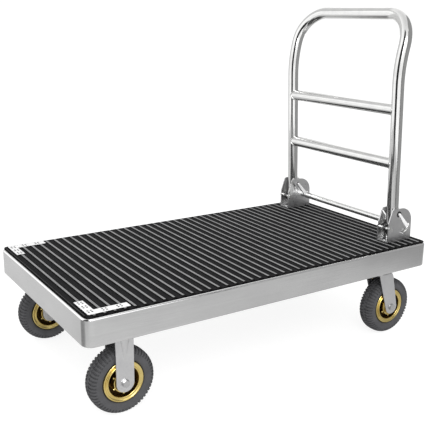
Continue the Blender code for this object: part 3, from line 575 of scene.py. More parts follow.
def along_z(x, y, z=0.0, direction=1.0):
    return facing((x, y, z), (0, 0, direction))


def rod(start, end, radius):
    """Profile of a solid round bar."""
    return [(start, 0.0), (start, radius), (end, radius), (end, 0.0)]


def soft_disc(radius, height, edge):
    """Profile of a low round head with a rounded rim, from its foot to its centre."""
    rim = arc((height - edge, radius - edge), edge, 90, 0, 4)
    return [(0.0, radius)] + rim + [(height, 0.0)]


def add_hexagon(data, matrix, across_flats, height):
    """A hexagon head with its corners turned down, standing on the matrix's XY plane."""
    corner = across_flats / math.sqrt(3)
    flat = across_flats / 2
    drop = (corner - flat) * 0.55
    sides = 24
    rings = []
    for level in ("foot", "shoulder", "face"):
        ring = []
        for i in range(sides):
            angle = TURN * i / sides
            within = (angle + math.pi / 6) % (math.pi / 3) - math.pi / 6
            reach = flat / math.cos(within)
            along = 0.0
            if level == "shoulder":
                along = height - drop * (reach - flat) / (corner - flat)
            if level == "face":
                reach = flat * 0.95
                along = height
            point = Vector((reach * math.cos(angle), reach * math.sin(angle), along))
            ring.append(data.verts.new(matrix @ point))
        rings.append(ring)
    add_block(data, rings)


def add_bolt_end(data, place, washer, segments, across_flats, height):
    """A washer of (radius, thickness, edge) with a hexagon on it; returns the hexagon's place."""
    add_turned(data, soft_disc(*washer), place, segments)
    head = place @ Matrix.Translation((0.0, 0.0, washer[1] - 0.0001))
    add_hexagon(data, head, across_flats, height)
    return head


def add_sweep(data, points, normals, radius, sides=28, wall=None):
    """A round bar or tube along a path, with a UV map of metres along and round it.

    normals is one direction square to the path, or one for each point.
    """
    uv = data.loops.layers.uv.get("path") or data.loops.layers.uv.new("path")
    if isinstance(normals, Vector):
        normals = [normals] * len(points)
    girth = TURN * radius / sides
    travelled = [0.0]
    for before, after in zip(points, points[1:]):
        travelled.append(travelled[-1] + (after - before).length)
    shells = []
    for size in [radius] if wall is None else [radius, radius - wall]:
        rings = []
        for index, (point, normal) in enumerate(zip(points, normals)):
            tangent = (points[min(index + 1, len(points) - 1)] - points[max(index - 1, 0)]).normalized()
            side = (normal - tangent * normal.dot(tangent)).normalized()
            other = tangent.cross(side)
            ring = []
            for i in range(sides):
                angle = TURN * i / sides
                offset = (side * math.cos(angle) + other * math.sin(angle)) * size
                ring.append(data.verts.new(point + offset))
            rings.append(ring)
        for step, (ring, following) in enumerate(zip(rings, rings[1:])):
            for i in range(sides):
                j = (i + 1) % sides
                face = data.faces.new((ring[i], ring[j], following[j], following[i]))
                places = ((step, i), (step, i + 1), (step + 1, i + 1), (step + 1, i))
                for loop, (along, around) in zip(face.loops, places):
                    loop[uv].uv = (travelled[along], around * girth)
        shells.append(rings)
    for end in (0, -1):
        if wall is None:
            data.faces.new(shells[0][end])
        else:
            bridge(data, [shells[0][end], shells[1][end]])


# ---- deck -----------------------------------------------------------------------------------
def build_tray():
    """One bent sheet: the top, the apron and a small return flange under it."""
    bottom = TRAY_LOW.z
    bend = TRAY_EDGE_BEND
    inner_bend = bend - SHEET
    lip = TRAY_LIP_BEND
    inner_lip = lip - SHEET
    outside = [(RETURN_FLANGE + SHEET, bottom)]
    inside = [(RETURN_FLANGE + SHEET, bottom + SHEET)]
    for sine, cosine in quarter(6):
        outside.append((lip * (1 - sine), bottom + lip * (1 - cosine)))
        inside.append((lip - inner_lip * sine, bottom + lip - inner_lip * cosine))
    for sine, cosine in quarter(6):
        outside.append((bend * (1 - cosine), DECK_TOP - bend * (1 - sine)))
        inside.append((bend - inner_bend * cosine, DECK_TOP - bend + inner_bend * sine))
    data = bmesh.new()
    loops = []
    for shift, height in outside + list(reversed(inside)):
        outline = rounded_rectangle(HALF_LENGTH - shift, HALF_WIDTH - shift, TRAY_CORNER_RADIUS - shift, 16)
        loops.append([data.verts.new((x, y, height)) for x, y in outline])
    count = len(outside)
    bridge(data, loops[:count])
    bridge(data, loops[count:])
    bridge(data, [loops[-1], loops[0]])
    data.faces.new(loops[count - 1])
    data.faces.new(loops[count])
    put("tray", data, "tray_steel", "deck", ["deck_tray"])


def build_mat():
    """The mat's sheet with its moulded ridges, each with sloping flanks and a soft crown."""
    half_x = MAT_HIGH.x
    half_y = MAT_HIGH.y
    data = bmesh.new()
    outline = rounded_rectangle(half_x, half_y, MAT_CORNER_RADIUS, 10)
    add_plate(data, outline, MAT_LOW.z, MAT_SURFACE, "XY", edge=0.0006)
    rise = MAT_HIGH.z - MAT_SURFACE
    foot = RIDGE_WIDTH / 2
    crown = foot - 0.0009
    flank = [(-foot, -0.0004), (-foot, 0.0), (-crown - 0.0002, rise * 0.82), (-crown + 0.0003, rise * 0.97),
             (-crown * 0.5, rise)]
    section = flank + [(-x, z) for x, z in reversed(flank)]
    reach = half_y - RIDGE_END_MARGIN
    slope = 0.0012
    ends = ((-reach, 0.0), (slope - reach, 1.0), (reach - slope, 1.0), (reach, 0.0))
    for i in range(RIDGE_COUNT):
        center = (i - (RIDGE_COUNT - 1) / 2) * RIDGE_PITCH
        rings = []
        for y, share in ends:
            places = [(center + x, y, MAT_SURFACE + min(z, z * share)) for x, z in section]
            rings.append([data.verts.new(place) for place in places])
        add_block(data, rings)
    bead_x = half_x - MAT_BEAD_INSET
    bead = rounded_rectangle(MAT_BEAD_WIDTH / 2, half_y - MAT_CORNER_RADIUS, 0.0006, 3)
    for x in (-bead_x, bead_x):
        outline = [(x + a, b) for a, b in bead]
        add_plate(data, outline, MAT_SURFACE - GAP, MAT_SURFACE + MAT_BEAD_RISE, "XY", edge=0.0002)
    put("mat", data, "mat_rubber", "deck", ["anti_slip_mat"], angle=50)


def build_corner_guard(label, side):
    """White L plate over a front corner of the mat, with groups of small dark rivets."""
    low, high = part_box("corner_guard_" + label)
    near = high.y if side > 0 else low.y
    length = high.y - low.y
    width = GUARD_WIDTH
    outer = GUARD_OUTER_RADIUS
    inner = GUARD_INNER_RADIUS
    outline = arc((low.x + outer, outer), outer, 180, 270, 6)
    outline += [(high.x, 0.0), (high.x, width)]
    outline += arc((low.x + width + inner, width + inner), inner, 270, 180, 4)
    outline += [(low.x + width, length), (low.x, length)]
    outline = [(x, near - side * across) for x, across in outline]
    data = bmesh.new()
    add_plate(data, outline, low.z, high.z, "XY", edge=0.0004)
    put("corner_guard_plate_" + label, data, "guard_white", "deck", ["corner_guard_" + label])
    rivets = bmesh.new()
    groups = [(low.x + width / 2, across) for across in GUARD_RIVETS_ACROSS]
    groups += [(low.x + along, width / 2) for along in GUARD_RIVETS_ALONG]
    half = GUARD_RIVET_SPACING / 2
    for x, across in groups:
        for step_x in (-half, half):
            for step_y in (-half, half):
                place = along_z(x + step_x, near - side * (across + step_y), high.z - 0.0001)
                add_turned(rivets, soft_disc(0.0023, 0.0007, 0.0005), place, 16)
    put("guard_rivets_" + label, rivets, "black_plastic", "deck")


def build_underframe():
    """The channels under the tray keep their CAD shape, with weld beads where they meet."""
    cross_members = ["cross_member_" + place for place in ("front", "middle", "rear")]
    for name in ["frame_rail_left", "frame_rail_right"] + cross_members:
        node = frame["nodes"][name]
        node.data.materials.clear()
        node.data.materials.append(FINISH["rail_steel"])
    data = bmesh.new()
    bead = 0.0022
    steps = 26
    for name in cross_members:
        low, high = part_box(name)
        for side in SIDES.values():
            for x in (low.x, high.x):
                points = straight((x, high.y * side, low.z), (x, high.y * side, high.z - bead), steps)
                for i, point in enumerate(points):
                    point.x += 0.0003 * math.sin(i * 2.6)
                add_sweep(data, points, Vector((1, 0, 0)), bead, 10)
    put("frame_welds", data, "plated_steel", "deck", angle=60)


# ---- handle ---------------------------------------------------------------------------------
def upright_point(distance):
    """X and height of the handle's centre line, this far along an upright from the deck."""
    run = min(distance, HANDLE_BEND_START)
    x = HANDLE_X + math.sin(HANDLE_LEAN) * run
    height = math.cos(HANDLE_LEAN) * run
    if distance > HANDLE_BEND_START:
        turn = HANDLE_LEAN + (distance - HANDLE_BEND_START) / HANDLE_BEND_RADIUS
        x += HANDLE_BEND_RADIUS * (math.cos(HANDLE_LEAN) - math.cos(turn))
        height += HANDLE_BEND_RADIUS * (math.sin(turn) - math.sin(HANDLE_LEAN))
    return x, DECK_TOP + height


def upright_heading(distance):
    turn = HANDLE_LEAN + max(0.0, distance - HANDLE_BEND_START) / HANDLE_BEND_RADIUS
    return Vector((math.cos(turn), 0.0, -math.sin(turn)))


def build_handle_tube():
    """The bent U: an upright, a corner, the grip, and the same again on the other side."""
    corner = HANDLE_CORNER_RADIUS
    shoulder = HANDLE_REACH - corner
    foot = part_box("handle_tube")[0].z - DECK_TOP + TUBE_RADIUS * math.sin(-HANDLE_LEAN)
    rise = [foot + (HANDLE_BEND_START - foot) * i / 12 for i in range(13)]
    rise += [HANDLE_BEND_START + (shoulder - HANDLE_BEND_START) * i / 12 for i in range(1, 13)]
    half = [(distance, HANDLE_Y) for distance in rise]
    for sine, cosine in quarter(24)[1:]:
        half.append((shoulder + corner * sine, HANDLE_Y - corner + corner * cosine))
    grip = [(HANDLE_REACH, (HANDLE_Y - corner) * (1 - i / 4)) for i in range(1, 8)]
    points = []
    normals = []
    for distance, y in half + grip + [(distance, -y) for distance, y in reversed(half)]:
        x, height = upright_point(distance)
        points.append(Vector((x, y, height)))
        normals.append(upright_heading(distance))
    data = bmesh.new()
    add_sweep(data, points, normals, TUBE_RADIUS, 40, TUBE_WALL)
    put("handle_loop", data, "tube_stainless", "handle", ["handle_tube"], angle=50)


def build_cross_bar(label, height):
    """A straight bar whose ends meet the uprights in a small rippled weld."""
    x, z = upright_point(height / math.cos(HANDLE_LEAN))
    reach = HANDLE_Y - TUBE_RADIUS * 0.55
    data = bmesh.new()
    add_sweep(data, straight((x, -reach, z), (x, reach, z), 8), Vector((1, 0, 0)), CROSS_BAR_RADIUS, 36)
    put("cross_bar_tube_" + label, data, "tube_stainless", "handle", ["cross_bar_" + label], angle=50)
    welds = bmesh.new()
    ripples = 44
    for side in SIDES.values():
        inward = Vector((0, side, 0))
        rings = []
        for i in range(ripples):
            turn = TURN * i / ripples
            across = CROSS_BAR_RADIUS * math.cos(turn)
            seat = HANDLE_Y - math.sqrt(TUBE_RADIUS ** 2 - across ** 2)
            center = Vector((x + across, side * seat, z + CROSS_BAR_RADIUS * math.sin(turn)))
            outward = Vector((math.cos(turn), -side * 0.6, math.sin(turn))).normalized()
            section = circle((0.0, 0.0), WELD_BEAD + 0.00025 * math.sin(i * 2.9), 8)
            rings.append([welds.verts.new(center + outward * a + inward * b) for a, b in section])
        bridge(welds, rings, closed=True)
    put("cross_bar_welds_" + label, welds, "hardware_bright", "handle", angle=60)


def build_hinge_lug(label):
    """Plate with the pivot's eye in front and the latch nose low at its back."""
    low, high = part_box("hinge_lug_" + label)
    pivot = (PIVOT.x, PIVOT.z)
    outline = arc(pivot, LUG_EYE_RADIUS, 100, 255, 12)
    outline += [(LUG_FRONT, low.z), (LUG_BACK - 0.003, low.z), (LUG_BACK - 0.0005, low.z + 0.002),
                (high.x, low.z + 0.011), (high.x, low.z + 0.018), (LUG_BACK, low.z + 0.022),
                (LUG_BACK, high.z), (LUG_FRONT, high.z)]
    data = bmesh.new()
    add_plate(data, outline, low.y, high.y, "XZ", [circle(pivot, PIVOT_RADIUS + GAP, 24)])
    # the lug's dark colour is painted shade inside the bracket
    put("hinge_lug_plate_" + label, data, "lug_painted_shade", "handle", ["hinge_lug_" + label])


# ---- hinge brackets and lock ----------------------------------------------------------------
def ear_outline():
    """Side view of an ear: upright front edge, slanted knee, flat top and a round back."""
    corner = EAR_BACK_RADIUS
    front = BRACKET_LOW.x
    rear = BRACKET_HIGH.x
    top = BRACKET_HIGH.z
    back = rear - 0.002
    knee = front + EAR_KNEE_RUN
    knee_height = DECK_TOP + EAR_KNEE_HEIGHT
    points = [(rear, BRACKET_LOW.z), (back, top - corner)]
    points += arc((back - corner, top - corner), corner, 5, 90, 18)
    points += [(knee + 0.006, top), (knee + 0.002, top - 0.0015), (knee, top - 0.004),
               (front + 0.0006, knee_height + 0.001), (front, knee_height - 0.002),
               (front, BRACKET_LOW.z)]
    return points


def lock_rod_swung(angle):
    """X and height of the lock rod when the arms have swung back by this angle."""
    dx = LOCK_ROD.x - LOCK_PIVOT.x
    dz = LOCK_ROD.z - LOCK_PIVOT.z
    return (LOCK_PIVOT.x + dx * math.cos(angle) - dz * math.sin(angle),
            LOCK_PIVOT.z + dz * math.cos(angle) + dx * math.sin(angle))


def kinked_slot():
    """Outline of the two-legged latch slot: down its front side and back up its rear side."""
    top, kink, foot = [Vector((x, DECK_TOP + height)) for x, height in LATCH_SLOT]
    radius = LATCH_SLOT_RADIUS
    upper = math.degrees(math.atan2(top.y - kink.y, top.x - kink.x))
    lower = math.degrees(math.atan2(kink.y - foot.y, kink.x - foot.x))
    points = arc(top, radius, upper - 90, upper + 90, 8)
    points += arc(kink, radius, upper + 90, lower + 90, 3)[:1]
    points += arc(foot, radius, lower + 90, lower + 270, 8)
    points += arc(kink, radius, lower - 90, upper - 90, 4)
    return points


def build_hinge_bracket(label, side):
    """Two ears on a base plate; the folds between them are rounded."""
    center = side * HANDLE_Y
    half = BRACKET_HALF_WIDTH
    front = BRACKET_LOW.x
    rear = BRACKET_HIGH.x
    floor = BRACKET_LOW.z + BRACKET_PLATE
    data = bmesh.new()
    base = rounded_rectangle((rear - front) / 2 - 0.0002, half - 0.0004, 0.001, 2)
    base = [((rear + front) / 2 + x, center + y) for x, y in base]
    add_plate(data, base, BRACKET_LOW.z, floor, "XY", edge=0.0006)
    rod_slot = capsule((LOCK_ROD.x, LOCK_ROD.z), lock_rod_swung(LOCK_SWING), LOCK_ROD_RADIUS + 0.0005)
    fold = 0.003
    for ear, direction in (("outer", side), ("inner", -side)):
        face = center + direction * half
        holes = [circle((PIVOT.x, PIVOT.z), PIVOT_RADIUS + GAP, 24), rod_slot,
                 circle((LOCK_PIVOT.x, LOCK_PIVOT.z), BUSH_RADII[ear] + GAP, 32)]
        if ear == "inner":
            holes.append(kinked_slot())
        inner_face = face - direction * BRACKET_PLATE
        add_plate(data, ear_outline(), face, inner_face, "XZ", holes, 0.0003)
        curve = [(inner_face + direction * 0.0004, floor - 0.0004)]
        for sine, cosine in quarter(6):
            curve.append((inner_face - direction * fold * (1 - sine), floor + fold * (1 - cosine)))
        rings = []
        for x in (front + 0.001, rear - 0.001):
            rings.append([data.verts.new((x, y, z)) for y, z in curve])
        add_block(data, rings)
    neck = 0.0016
    pin = [(-0.001, SPRING_PIN_RADIUS), (0.0055, SPRING_PIN_RADIUS), (0.0056, neck), (0.0064, neck),
           (0.0065, SPRING_PIN_RADIUS), (0.0072, SPRING_PIN_RADIUS), (0.0075, neck), (0.0075, 0.0)]
    add_turned(data, pin, along_y(SPRING_ANCHOR.x, center + side * half, SPRING_ANCHOR.z, side), 20)
    put("hinge_bracket_plate_" + label, data, "hinge_steel", "deck", ["hinge_bracket_" + label])
    bolts = bmesh.new()
    for x in (front + 0.0105, rear - 0.0095):
        add_turned(bolts, soft_disc(0.0052, 0.0022, 0.0016), along_z(x, center, floor), 24)
    put("bracket_bolts_" + label, bolts, "hardware_bright", "deck")


def build_hinge_bolt(label, side):
    low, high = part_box("hinge_bolt_" + label)
    center = side * HANDLE_Y
    half = BRACKET_HALF_WIDTH + GAP
    data = bmesh.new()
    shaft = rod(-half - 0.002, half + 0.002, PIVOT_RADIUS)
    add_turned(data, shaft, along_y(PIVOT.x, center, PIVOT.z), 32)
    for direction, end in ((-1.0, low.y), (1.0, high.y)):
        seat = center + direction * half
        place = along_y(PIVOT.x, seat, PIVOT.z, direction)
        add_bolt_end(data, place, (0.0078, 0.0008, 0.0003), 32, 0.0125, abs(end - seat) - 0.0009)
    put("hinge_pivot_bolt_" + label, data, "hardware_bright", "deck", ["hinge_bolt_" + label])


def build_lock_arms(label, side):
    """Tapered arms on the outer faces of the ears, each hung on its stub pin in a black bush."""
    center = side * HANDLE_Y
    top = Vector((LOCK_PIVOT.x, LOCK_PIVOT.z))
    foot = Vector((LOCK_ROD.x, LOCK_ROD.z))
    heading = math.degrees(math.atan2(foot.y - top.y, foot.x - top.x))
    outline = arc(foot, LOCK_ARM_RADII["foot"], heading - 90, heading + 90, 16)
    outline += arc(top, LOCK_ARM_RADII["top"], heading + 90, heading + 270, 12)
    depth = BRACKET_PLATE
    stub_low = BRACKET_HALF_WIDTH - depth
    arm_low = BRACKET_HALF_WIDTH + GAP
    stub_high = arm_low + LOCK_ARM_THICKNESS + 0.0012
    stub = [(stub_low, 0.0), (stub_low, STUB_RADIUS), (stub_high - 0.0008, STUB_RADIUS),
            (stub_high, STUB_RADIUS - 0.0008), (stub_high, 0.0)]
    for ear, direction in (("outer", side), ("inner", -side)):
        name = label + "_" + ear
        inner = center + direction * arm_low
        data = bmesh.new()
        add_plate(data, outline, inner, inner + direction * LOCK_ARM_THICKNESS, "XZ", edge=0.0016, steps=4)
        add_turned(data, stub, along_y(top.x, center, top.y, direction), 28)
        put("lock_arm_plate_" + name, data, "lock_zinc", "lock", ["lock_arm_" + name])
        radius = BUSH_RADII[ear]
        ring = [(0.0, STUB_RADIUS + GAP), (0.0, radius - 0.0004), (0.0004, radius), (depth - 0.0003, radius),
                (depth, radius - 0.0004), (depth, radius * 0.78), (depth - 0.0005, radius * 0.72),
                (depth - 0.0005, STUB_RADIUS + 0.0007), (depth, STUB_RADIUS + GAP)]
        bush = bmesh.new()
        place = along_y(top.x, center + direction * stub_low, top.y, direction)
        add_turned(bush, ring, place, 40, closed=True)
        put("lock_bush_ring_" + name, bush, "black_plastic", "deck", ["lock_bush_" + name])


def build_lock_bar():
    """The foot bar, a sleeve on the rod that runs through all four ears."""
    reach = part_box("lock_bar")[1].y
    points = straight((LOCK_ROD.x, -reach, LOCK_ROD.z), (LOCK_ROD.x, reach, LOCK_ROD.z), 8)
    wall = LOCK_BAR_RADIUS - LOCK_ROD_RADIUS - GAP
    sleeve = bmesh.new()
    add_sweep(sleeve, points, Vector((1, 0, 0)), LOCK_BAR_RADIUS, 36, wall)
    put("lock_bar_sleeve", sleeve, "hardware_bright", "lock", ["lock_bar"], angle=50)
    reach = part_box("lock_rod")[1].y
    radius = LOCK_ROD_RADIUS
    edge = 0.0006
    profile = [(-reach, 0.0), (-reach, radius - edge), (edge - reach, radius),
               (reach - edge, radius), (reach, radius - edge), (reach, 0.0)]
    data = bmesh.new()
    add_turned(data, profile, along_y(*LOCK_ROD), 32)
    put("lock_rod_bar", data, "hardware_bright", "lock", ["lock_rod"])


def build_spring(label):
    """Tension spring, hooked on its anchor pin and ending a little short of the lock rod."""
    sideways = Vector((0.0, 1.0, 0.0))
    low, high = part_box("lock_spring_" + label)
    y = (low.y + high.y) / 2
    anchor = SPRING_ANCHOR + sideways * y
    rod_middle = LOCK_ROD + sideways * y
    along = (rod_middle - anchor).normalized()
    across = along.cross(sideways)
    start = anchor + along * SPRING_START
    length = (rod_middle - anchor).length - SPRING_START - SPRING_END_ROOM
    steps = SPRING_TURNS * 16
    points = []
    hook = SPRING_PIN_RADIUS + SPRING_WIRE
    for i in range(14):
        angle = math.radians(250 - 250 * i / 14)
        points.append(anchor + (along * math.cos(angle) + across * math.sin(angle)) * hook)
    for i in range(steps + 1):
        angle = TURN * SPRING_TURNS * i / steps
        radial = across * math.cos(angle) + sideways * math.sin(angle)
        points.append(start + along * (length * i / steps) + radial * SPRING_RADIUS)
    data = bmesh.new()
    add_sweep(data, points, sideways + along * 0.01, SPRING_WIRE, 8)
    name = "lock_spring_coil_" + label
    coil = put(name, data, "hardware_bright", None, ["lock_spring_" + label], angle=80)
    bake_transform(coil)


# ---- casters --------------------------------------------------------------------------------
TREAD_BLOCKS = 54
TREAD_PHASES = (0.0, 0.06, 0.40, 0.46, 0.60, 0.74, 0.88)
NOTCH_PHASES = (0.05, 0.41)
SHOULDER = 0.0744
TREAD_CUTS = {"groove": 0.0036, "middle": 0.0012, "notch": 0.0033}
TYRE_HALF = [(0.0165, 0.0533), (0.0172, 0.0543), (0.0198, 0.0546), (0.0218, 0.0560), (0.0232, 0.0586),
             (0.0243, 0.0625), (0.0246, 0.0665), (0.0243, 0.0705), (0.0240, 0.0712), (0.0241, 0.0716),
             (0.0236, 0.0745), (0.0228, 0.0768), (0.0221, 0.0781), (0.0205, 0.0799), (0.0182, 0.0816),
             (0.0155, 0.0829), (0.0125, 0.0839), (0.0100, 0.0844), (0.0098, 0.0844), (0.0080, 0.0846),
             (0.0078, 0.0846), (0.0050, 0.0848), (0.0022, 0.0849), (0.0020, 0.0849)]
RIM_LIP = [(0.0140, 0.0531), (0.0172, 0.0530)]
RIM_LIP += arc((0.0200, 0.0502), 0.0027, 80, -50, 10)
RIM_LIP += [(0.0210, 0.0472), (0.0204, 0.0455), (0.0206, 0.0441)]
RIM_LIP += arc((0.0206, 0.0419), 0.0022, 70, -80, 10)
RIM_LIP += [(0.0170, 0.0393), (0.0090, 0.0390)]
RIM_WELL = [(0.0090, 0.0390), (0.0052, 0.0388), (0.0046, 0.0378), (0.0046, 0.0292), (0.0052, 0.0282),
            (0.0110, 0.0278)]
RIM_RING = [(0.0110, 0.0278), (0.0200, 0.0275), (0.0232, 0.0270), (0.0243, 0.0262), (0.0246, 0.0252),
            (0.0243, 0.0242), (0.0225, 0.0236), (0.0215, 0.0228), (0.0213, 0.0200), (0.0222, 0.0190),
            (0.0238, 0.0186), (0.0243, 0.0176), (0.0238, 0.0166), (0.0100, 0.0164)]
RIM_RIBS = 6
BEARING = [(0.0103, AXLE_BORE), (0.0247, AXLE_BORE), (0.0250, AXLE_BORE + 0.0004), (0.0250, 0.0088),
           (0.0244, 0.0092), (0.0244, 0.0130), (0.0250, 0.0134), (0.0250, 0.0156), (0.0246, 0.0161),
           (0.0103, 0.0161)]


def tread_depth(y, radius, phase):
    """How deep the tread is cut at this place across the tyre and phase within a block."""
    across = abs(y)
    if 0.0079 <= across <= 0.0099:
        return TREAD_CUTS["groove"]
    if across < 0.0021:
        return TREAD_CUTS["middle"]
    if radius >= SHOULDER and NOTCH_PHASES[0] <= phase <= NOTCH_PHASES[1]:
        return TREAD_CUTS["notch"]
    return 0.0


def add_tyre(data, center, side):
    """Rings of the tyre's section, cut into tread blocks that are staggered between its halves."""
    section = [(-y, radius) for y, radius in TYRE_HALF]
    section += [(y, radius) for y, radius in reversed(TYRE_HALF)]
    section += [(0.0175, 0.0533), (-0.0175, 0.0533)]
    rings = []
    for y, radius in section:
        slope = 0.12 * max(0.0, abs(y) - 0.004) / 0.018
        stagger = 0.5 if y > 0 else 0.0
        ring = []
        for block in range(TREAD_BLOCKS):
            for phase in TREAD_PHASES:
                depth = tread_depth(y, radius, phase)
                angle = (block + phase + slope + stagger) * TURN / TREAD_BLOCKS
                reach = radius - depth * 0.9
                across = y - math.copysign(depth * 0.35, y) if radius < 0.0815 else y
                point = Vector((reach * math.cos(angle), side * across, reach * math.sin(angle)))
                ring.append(data.verts.new(center + point))
        rings.append(ring)
    bridge(data, rings, closed=True)


def add_rim(data, recess, place):
    """Rounded outer lips, deep recesses with ribs, inner rings and the hub."""
    for sign in (1.0, -1.0):
        half = place @ Matrix.Diagonal((1.0, 1.0, sign, 1.0))
        add_turned(data, RIM_LIP, half, 96)
        add_turned(recess, RIM_WELL, half, 96)
        add_turned(data, RIM_RING, half, 96)
        for i in range(RIM_RIBS):
            turn = half @ Matrix.Rotation(TURN * (i + 0.5) / RIM_RIBS, 4, "Z")
            rings = []
            for radius, height in ((0.0270, 0.0212), (0.0312, 0.0206)):
                flank = [(-0.0024, 0.0040), (-0.0024, height - 0.0006), (-0.0018, height)]
                flank += [(-y, z) for y, z in reversed(flank)]
                rings.append([data.verts.new(turn @ Vector((radius, y, z))) for y, z in flank])
            add_block(data, rings)
    add_turned(data, [(-0.0140, 0.0531), (0.0140, 0.0531)], place, 96)


def build_wheel(label, x, side):
    center = Vector((x, side * WHEEL_Y, WHEEL_RADIUS))
    body = label + "_wheel"
    tyre = bmesh.new()
    add_tyre(tyre, center, side)
    put(label + "_tyre_tread", tyre, "tyre_rubber", body, [label + "_tyre"], angle=32)
    rim = bmesh.new()
    recess = bmesh.new()
    add_rim(rim, recess, along_y(*center, side))
    put(label + "_rim_shell", rim, "rim_gold", body, [label + "_rim"], angle=40)
    # the recess carries painted shade
    put(label + "_rim_well", recess, "rim_recess_painted_shade", body, angle=40)
    for end, direction in (("outer", side), ("inner", -side)):
        name = label + "_bearing_" + end
        bearing = bmesh.new()
        add_turned(bearing, BEARING, along_y(*center, direction), 48, closed=True)
        put(name + "_ring", bearing, "hardware_bright", body, [name])


def build_axle(end, label, x, side, body):
    """Axle bolt with its head outside and, inside, a nut that the thread comes through."""
    node = end + "_axle_" + label
    low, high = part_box(node)
    center = side * WHEEL_Y
    radius = AXLE_RADIUS
    half = LEG_INNER + LEG_THICKNESS + GAP
    data = bmesh.new()
    add_turned(data, rod(-half - 0.002, half + 0.002, radius), along_y(x, center, WHEEL_RADIUS), 32)
    for direction, tip in ((-1.0, low.y), (1.0, high.y)):
        seat = center + direction * half
        room = abs(tip - seat) - 0.0009
        place = along_y(x, seat, WHEEL_RADIUS, direction)
        is_nut = direction != side
        height = room * (0.78 if is_nut else 1.0)
        head = add_bolt_end(data, place, (0.0104, 0.0010, 0.0004), 36, 0.0165, height)
        if is_nut:
            thread = [(0.0, radius), (room - 0.0006, radius), (room, radius - 0.0006), (room, 0.0)]
            add_turned(data, thread, head, 28)
    put(end + "_" + label + "_axle_bolt", data, "bolt_zinc", body, [node])


def add_caster_plate(data, x, side):
    outline = rounded_rectangle(PLATE_HALF_X, PLATE_HALF_Y, 0.006, 5)
    outline = [(x + a, side * WHEEL_Y + b) for a, b in outline]
    add_plate(data, outline, PLATE_LOW.z, PLATE_HIGH.z, "XY", edge=0.0007)


def build_plate_bolts(label, x, side):
    """Four hexagon bolts under a mounting plate's corners."""
    data = bmesh.new()
    for sign_x in (-1.0, 1.0):
        for sign_y in (-1.0, 1.0):
            bolt_x = x + sign_x * (PLATE_HALF_X - 0.0115)
            bolt_y = side * WHEEL_Y + sign_y * (PLATE_HALF_Y - 0.0095)
            place = along_z(bolt_x, bolt_y, PLATE_LOW.z, -1.0)
            add_bolt_end(data, place, (0.0080, 0.0010, 0.0003), 24, 0.0125, 0.0045)
    put(label + "_plate_bolts", data, "hardware_bright", "deck")


def add_legs(data, outline, wheel_x, side):
    """A leg on each side of the wheel, with the axle's hole; returns each outer face's Y and side."""
    hole = circle((wheel_x, WHEEL_RADIUS), AXLE_BORE, 24)
    faces = []
    for direction in (side, -side):
        inner = side * WHEEL_Y + direction * LEG_INNER
        face = inner + direction * LEG_THICKNESS
        add_plate(data, outline, inner, face, "XZ", [hole], 0.0007)
        faces.append((face, direction))
    return faces


def build_fixed_fork(label, side):
    """Straight legs with a pressed half-cone rib that widens towards the plate."""
    data = bmesh.new()
    add_caster_plate(data, FIXED_WHEEL_X, side)
    half = FIXED_LEG_HALF_WIDTH
    top = PLATE_LOW.z + 0.0005
    leg = arc((FIXED_WHEEL_X, WHEEL_RADIUS), half, 180, 360, 28)
    leg += [(FIXED_WHEEL_X + half, top), (FIXED_WHEEL_X - half, top)]
    rib_height = PLATE_LOW.z - 0.004 - RIB_APEX
    rows = 14
    columns = 16
    for face, direction in add_legs(data, leg, FIXED_WHEEL_X, side):
        rings = []
        for row in range(rows + 1):
            share = row / rows
            width = 0.0135 * share ** 0.85
            rise = 0.0055 * min(1.0, 1.4 * share)
            z = RIB_APEX + rib_height * share
            ring = []
            for column in range(columns + 1):
                across = 2 * column / columns - 1
                swell = rise * math.sqrt(1 - across * across) - 0.00005
                x = FIXED_WHEEL_X + across * width
                ring.append(data.verts.new((x, face + direction * swell, z)))
            rings.append(ring)
        rings.append([data.verts.new((v.co.x, face - direction * 0.0003, v.co.z + 0.002)) for v in ring])
        bridge(data, rings, wrap=False)
    put("fixed_fork_legs_" + label, data, "plated_steel", "deck", ["fixed_fork_" + label], angle=45)
    build_plate_bolts("fixed_" + label, FIXED_WHEEL_X, side)


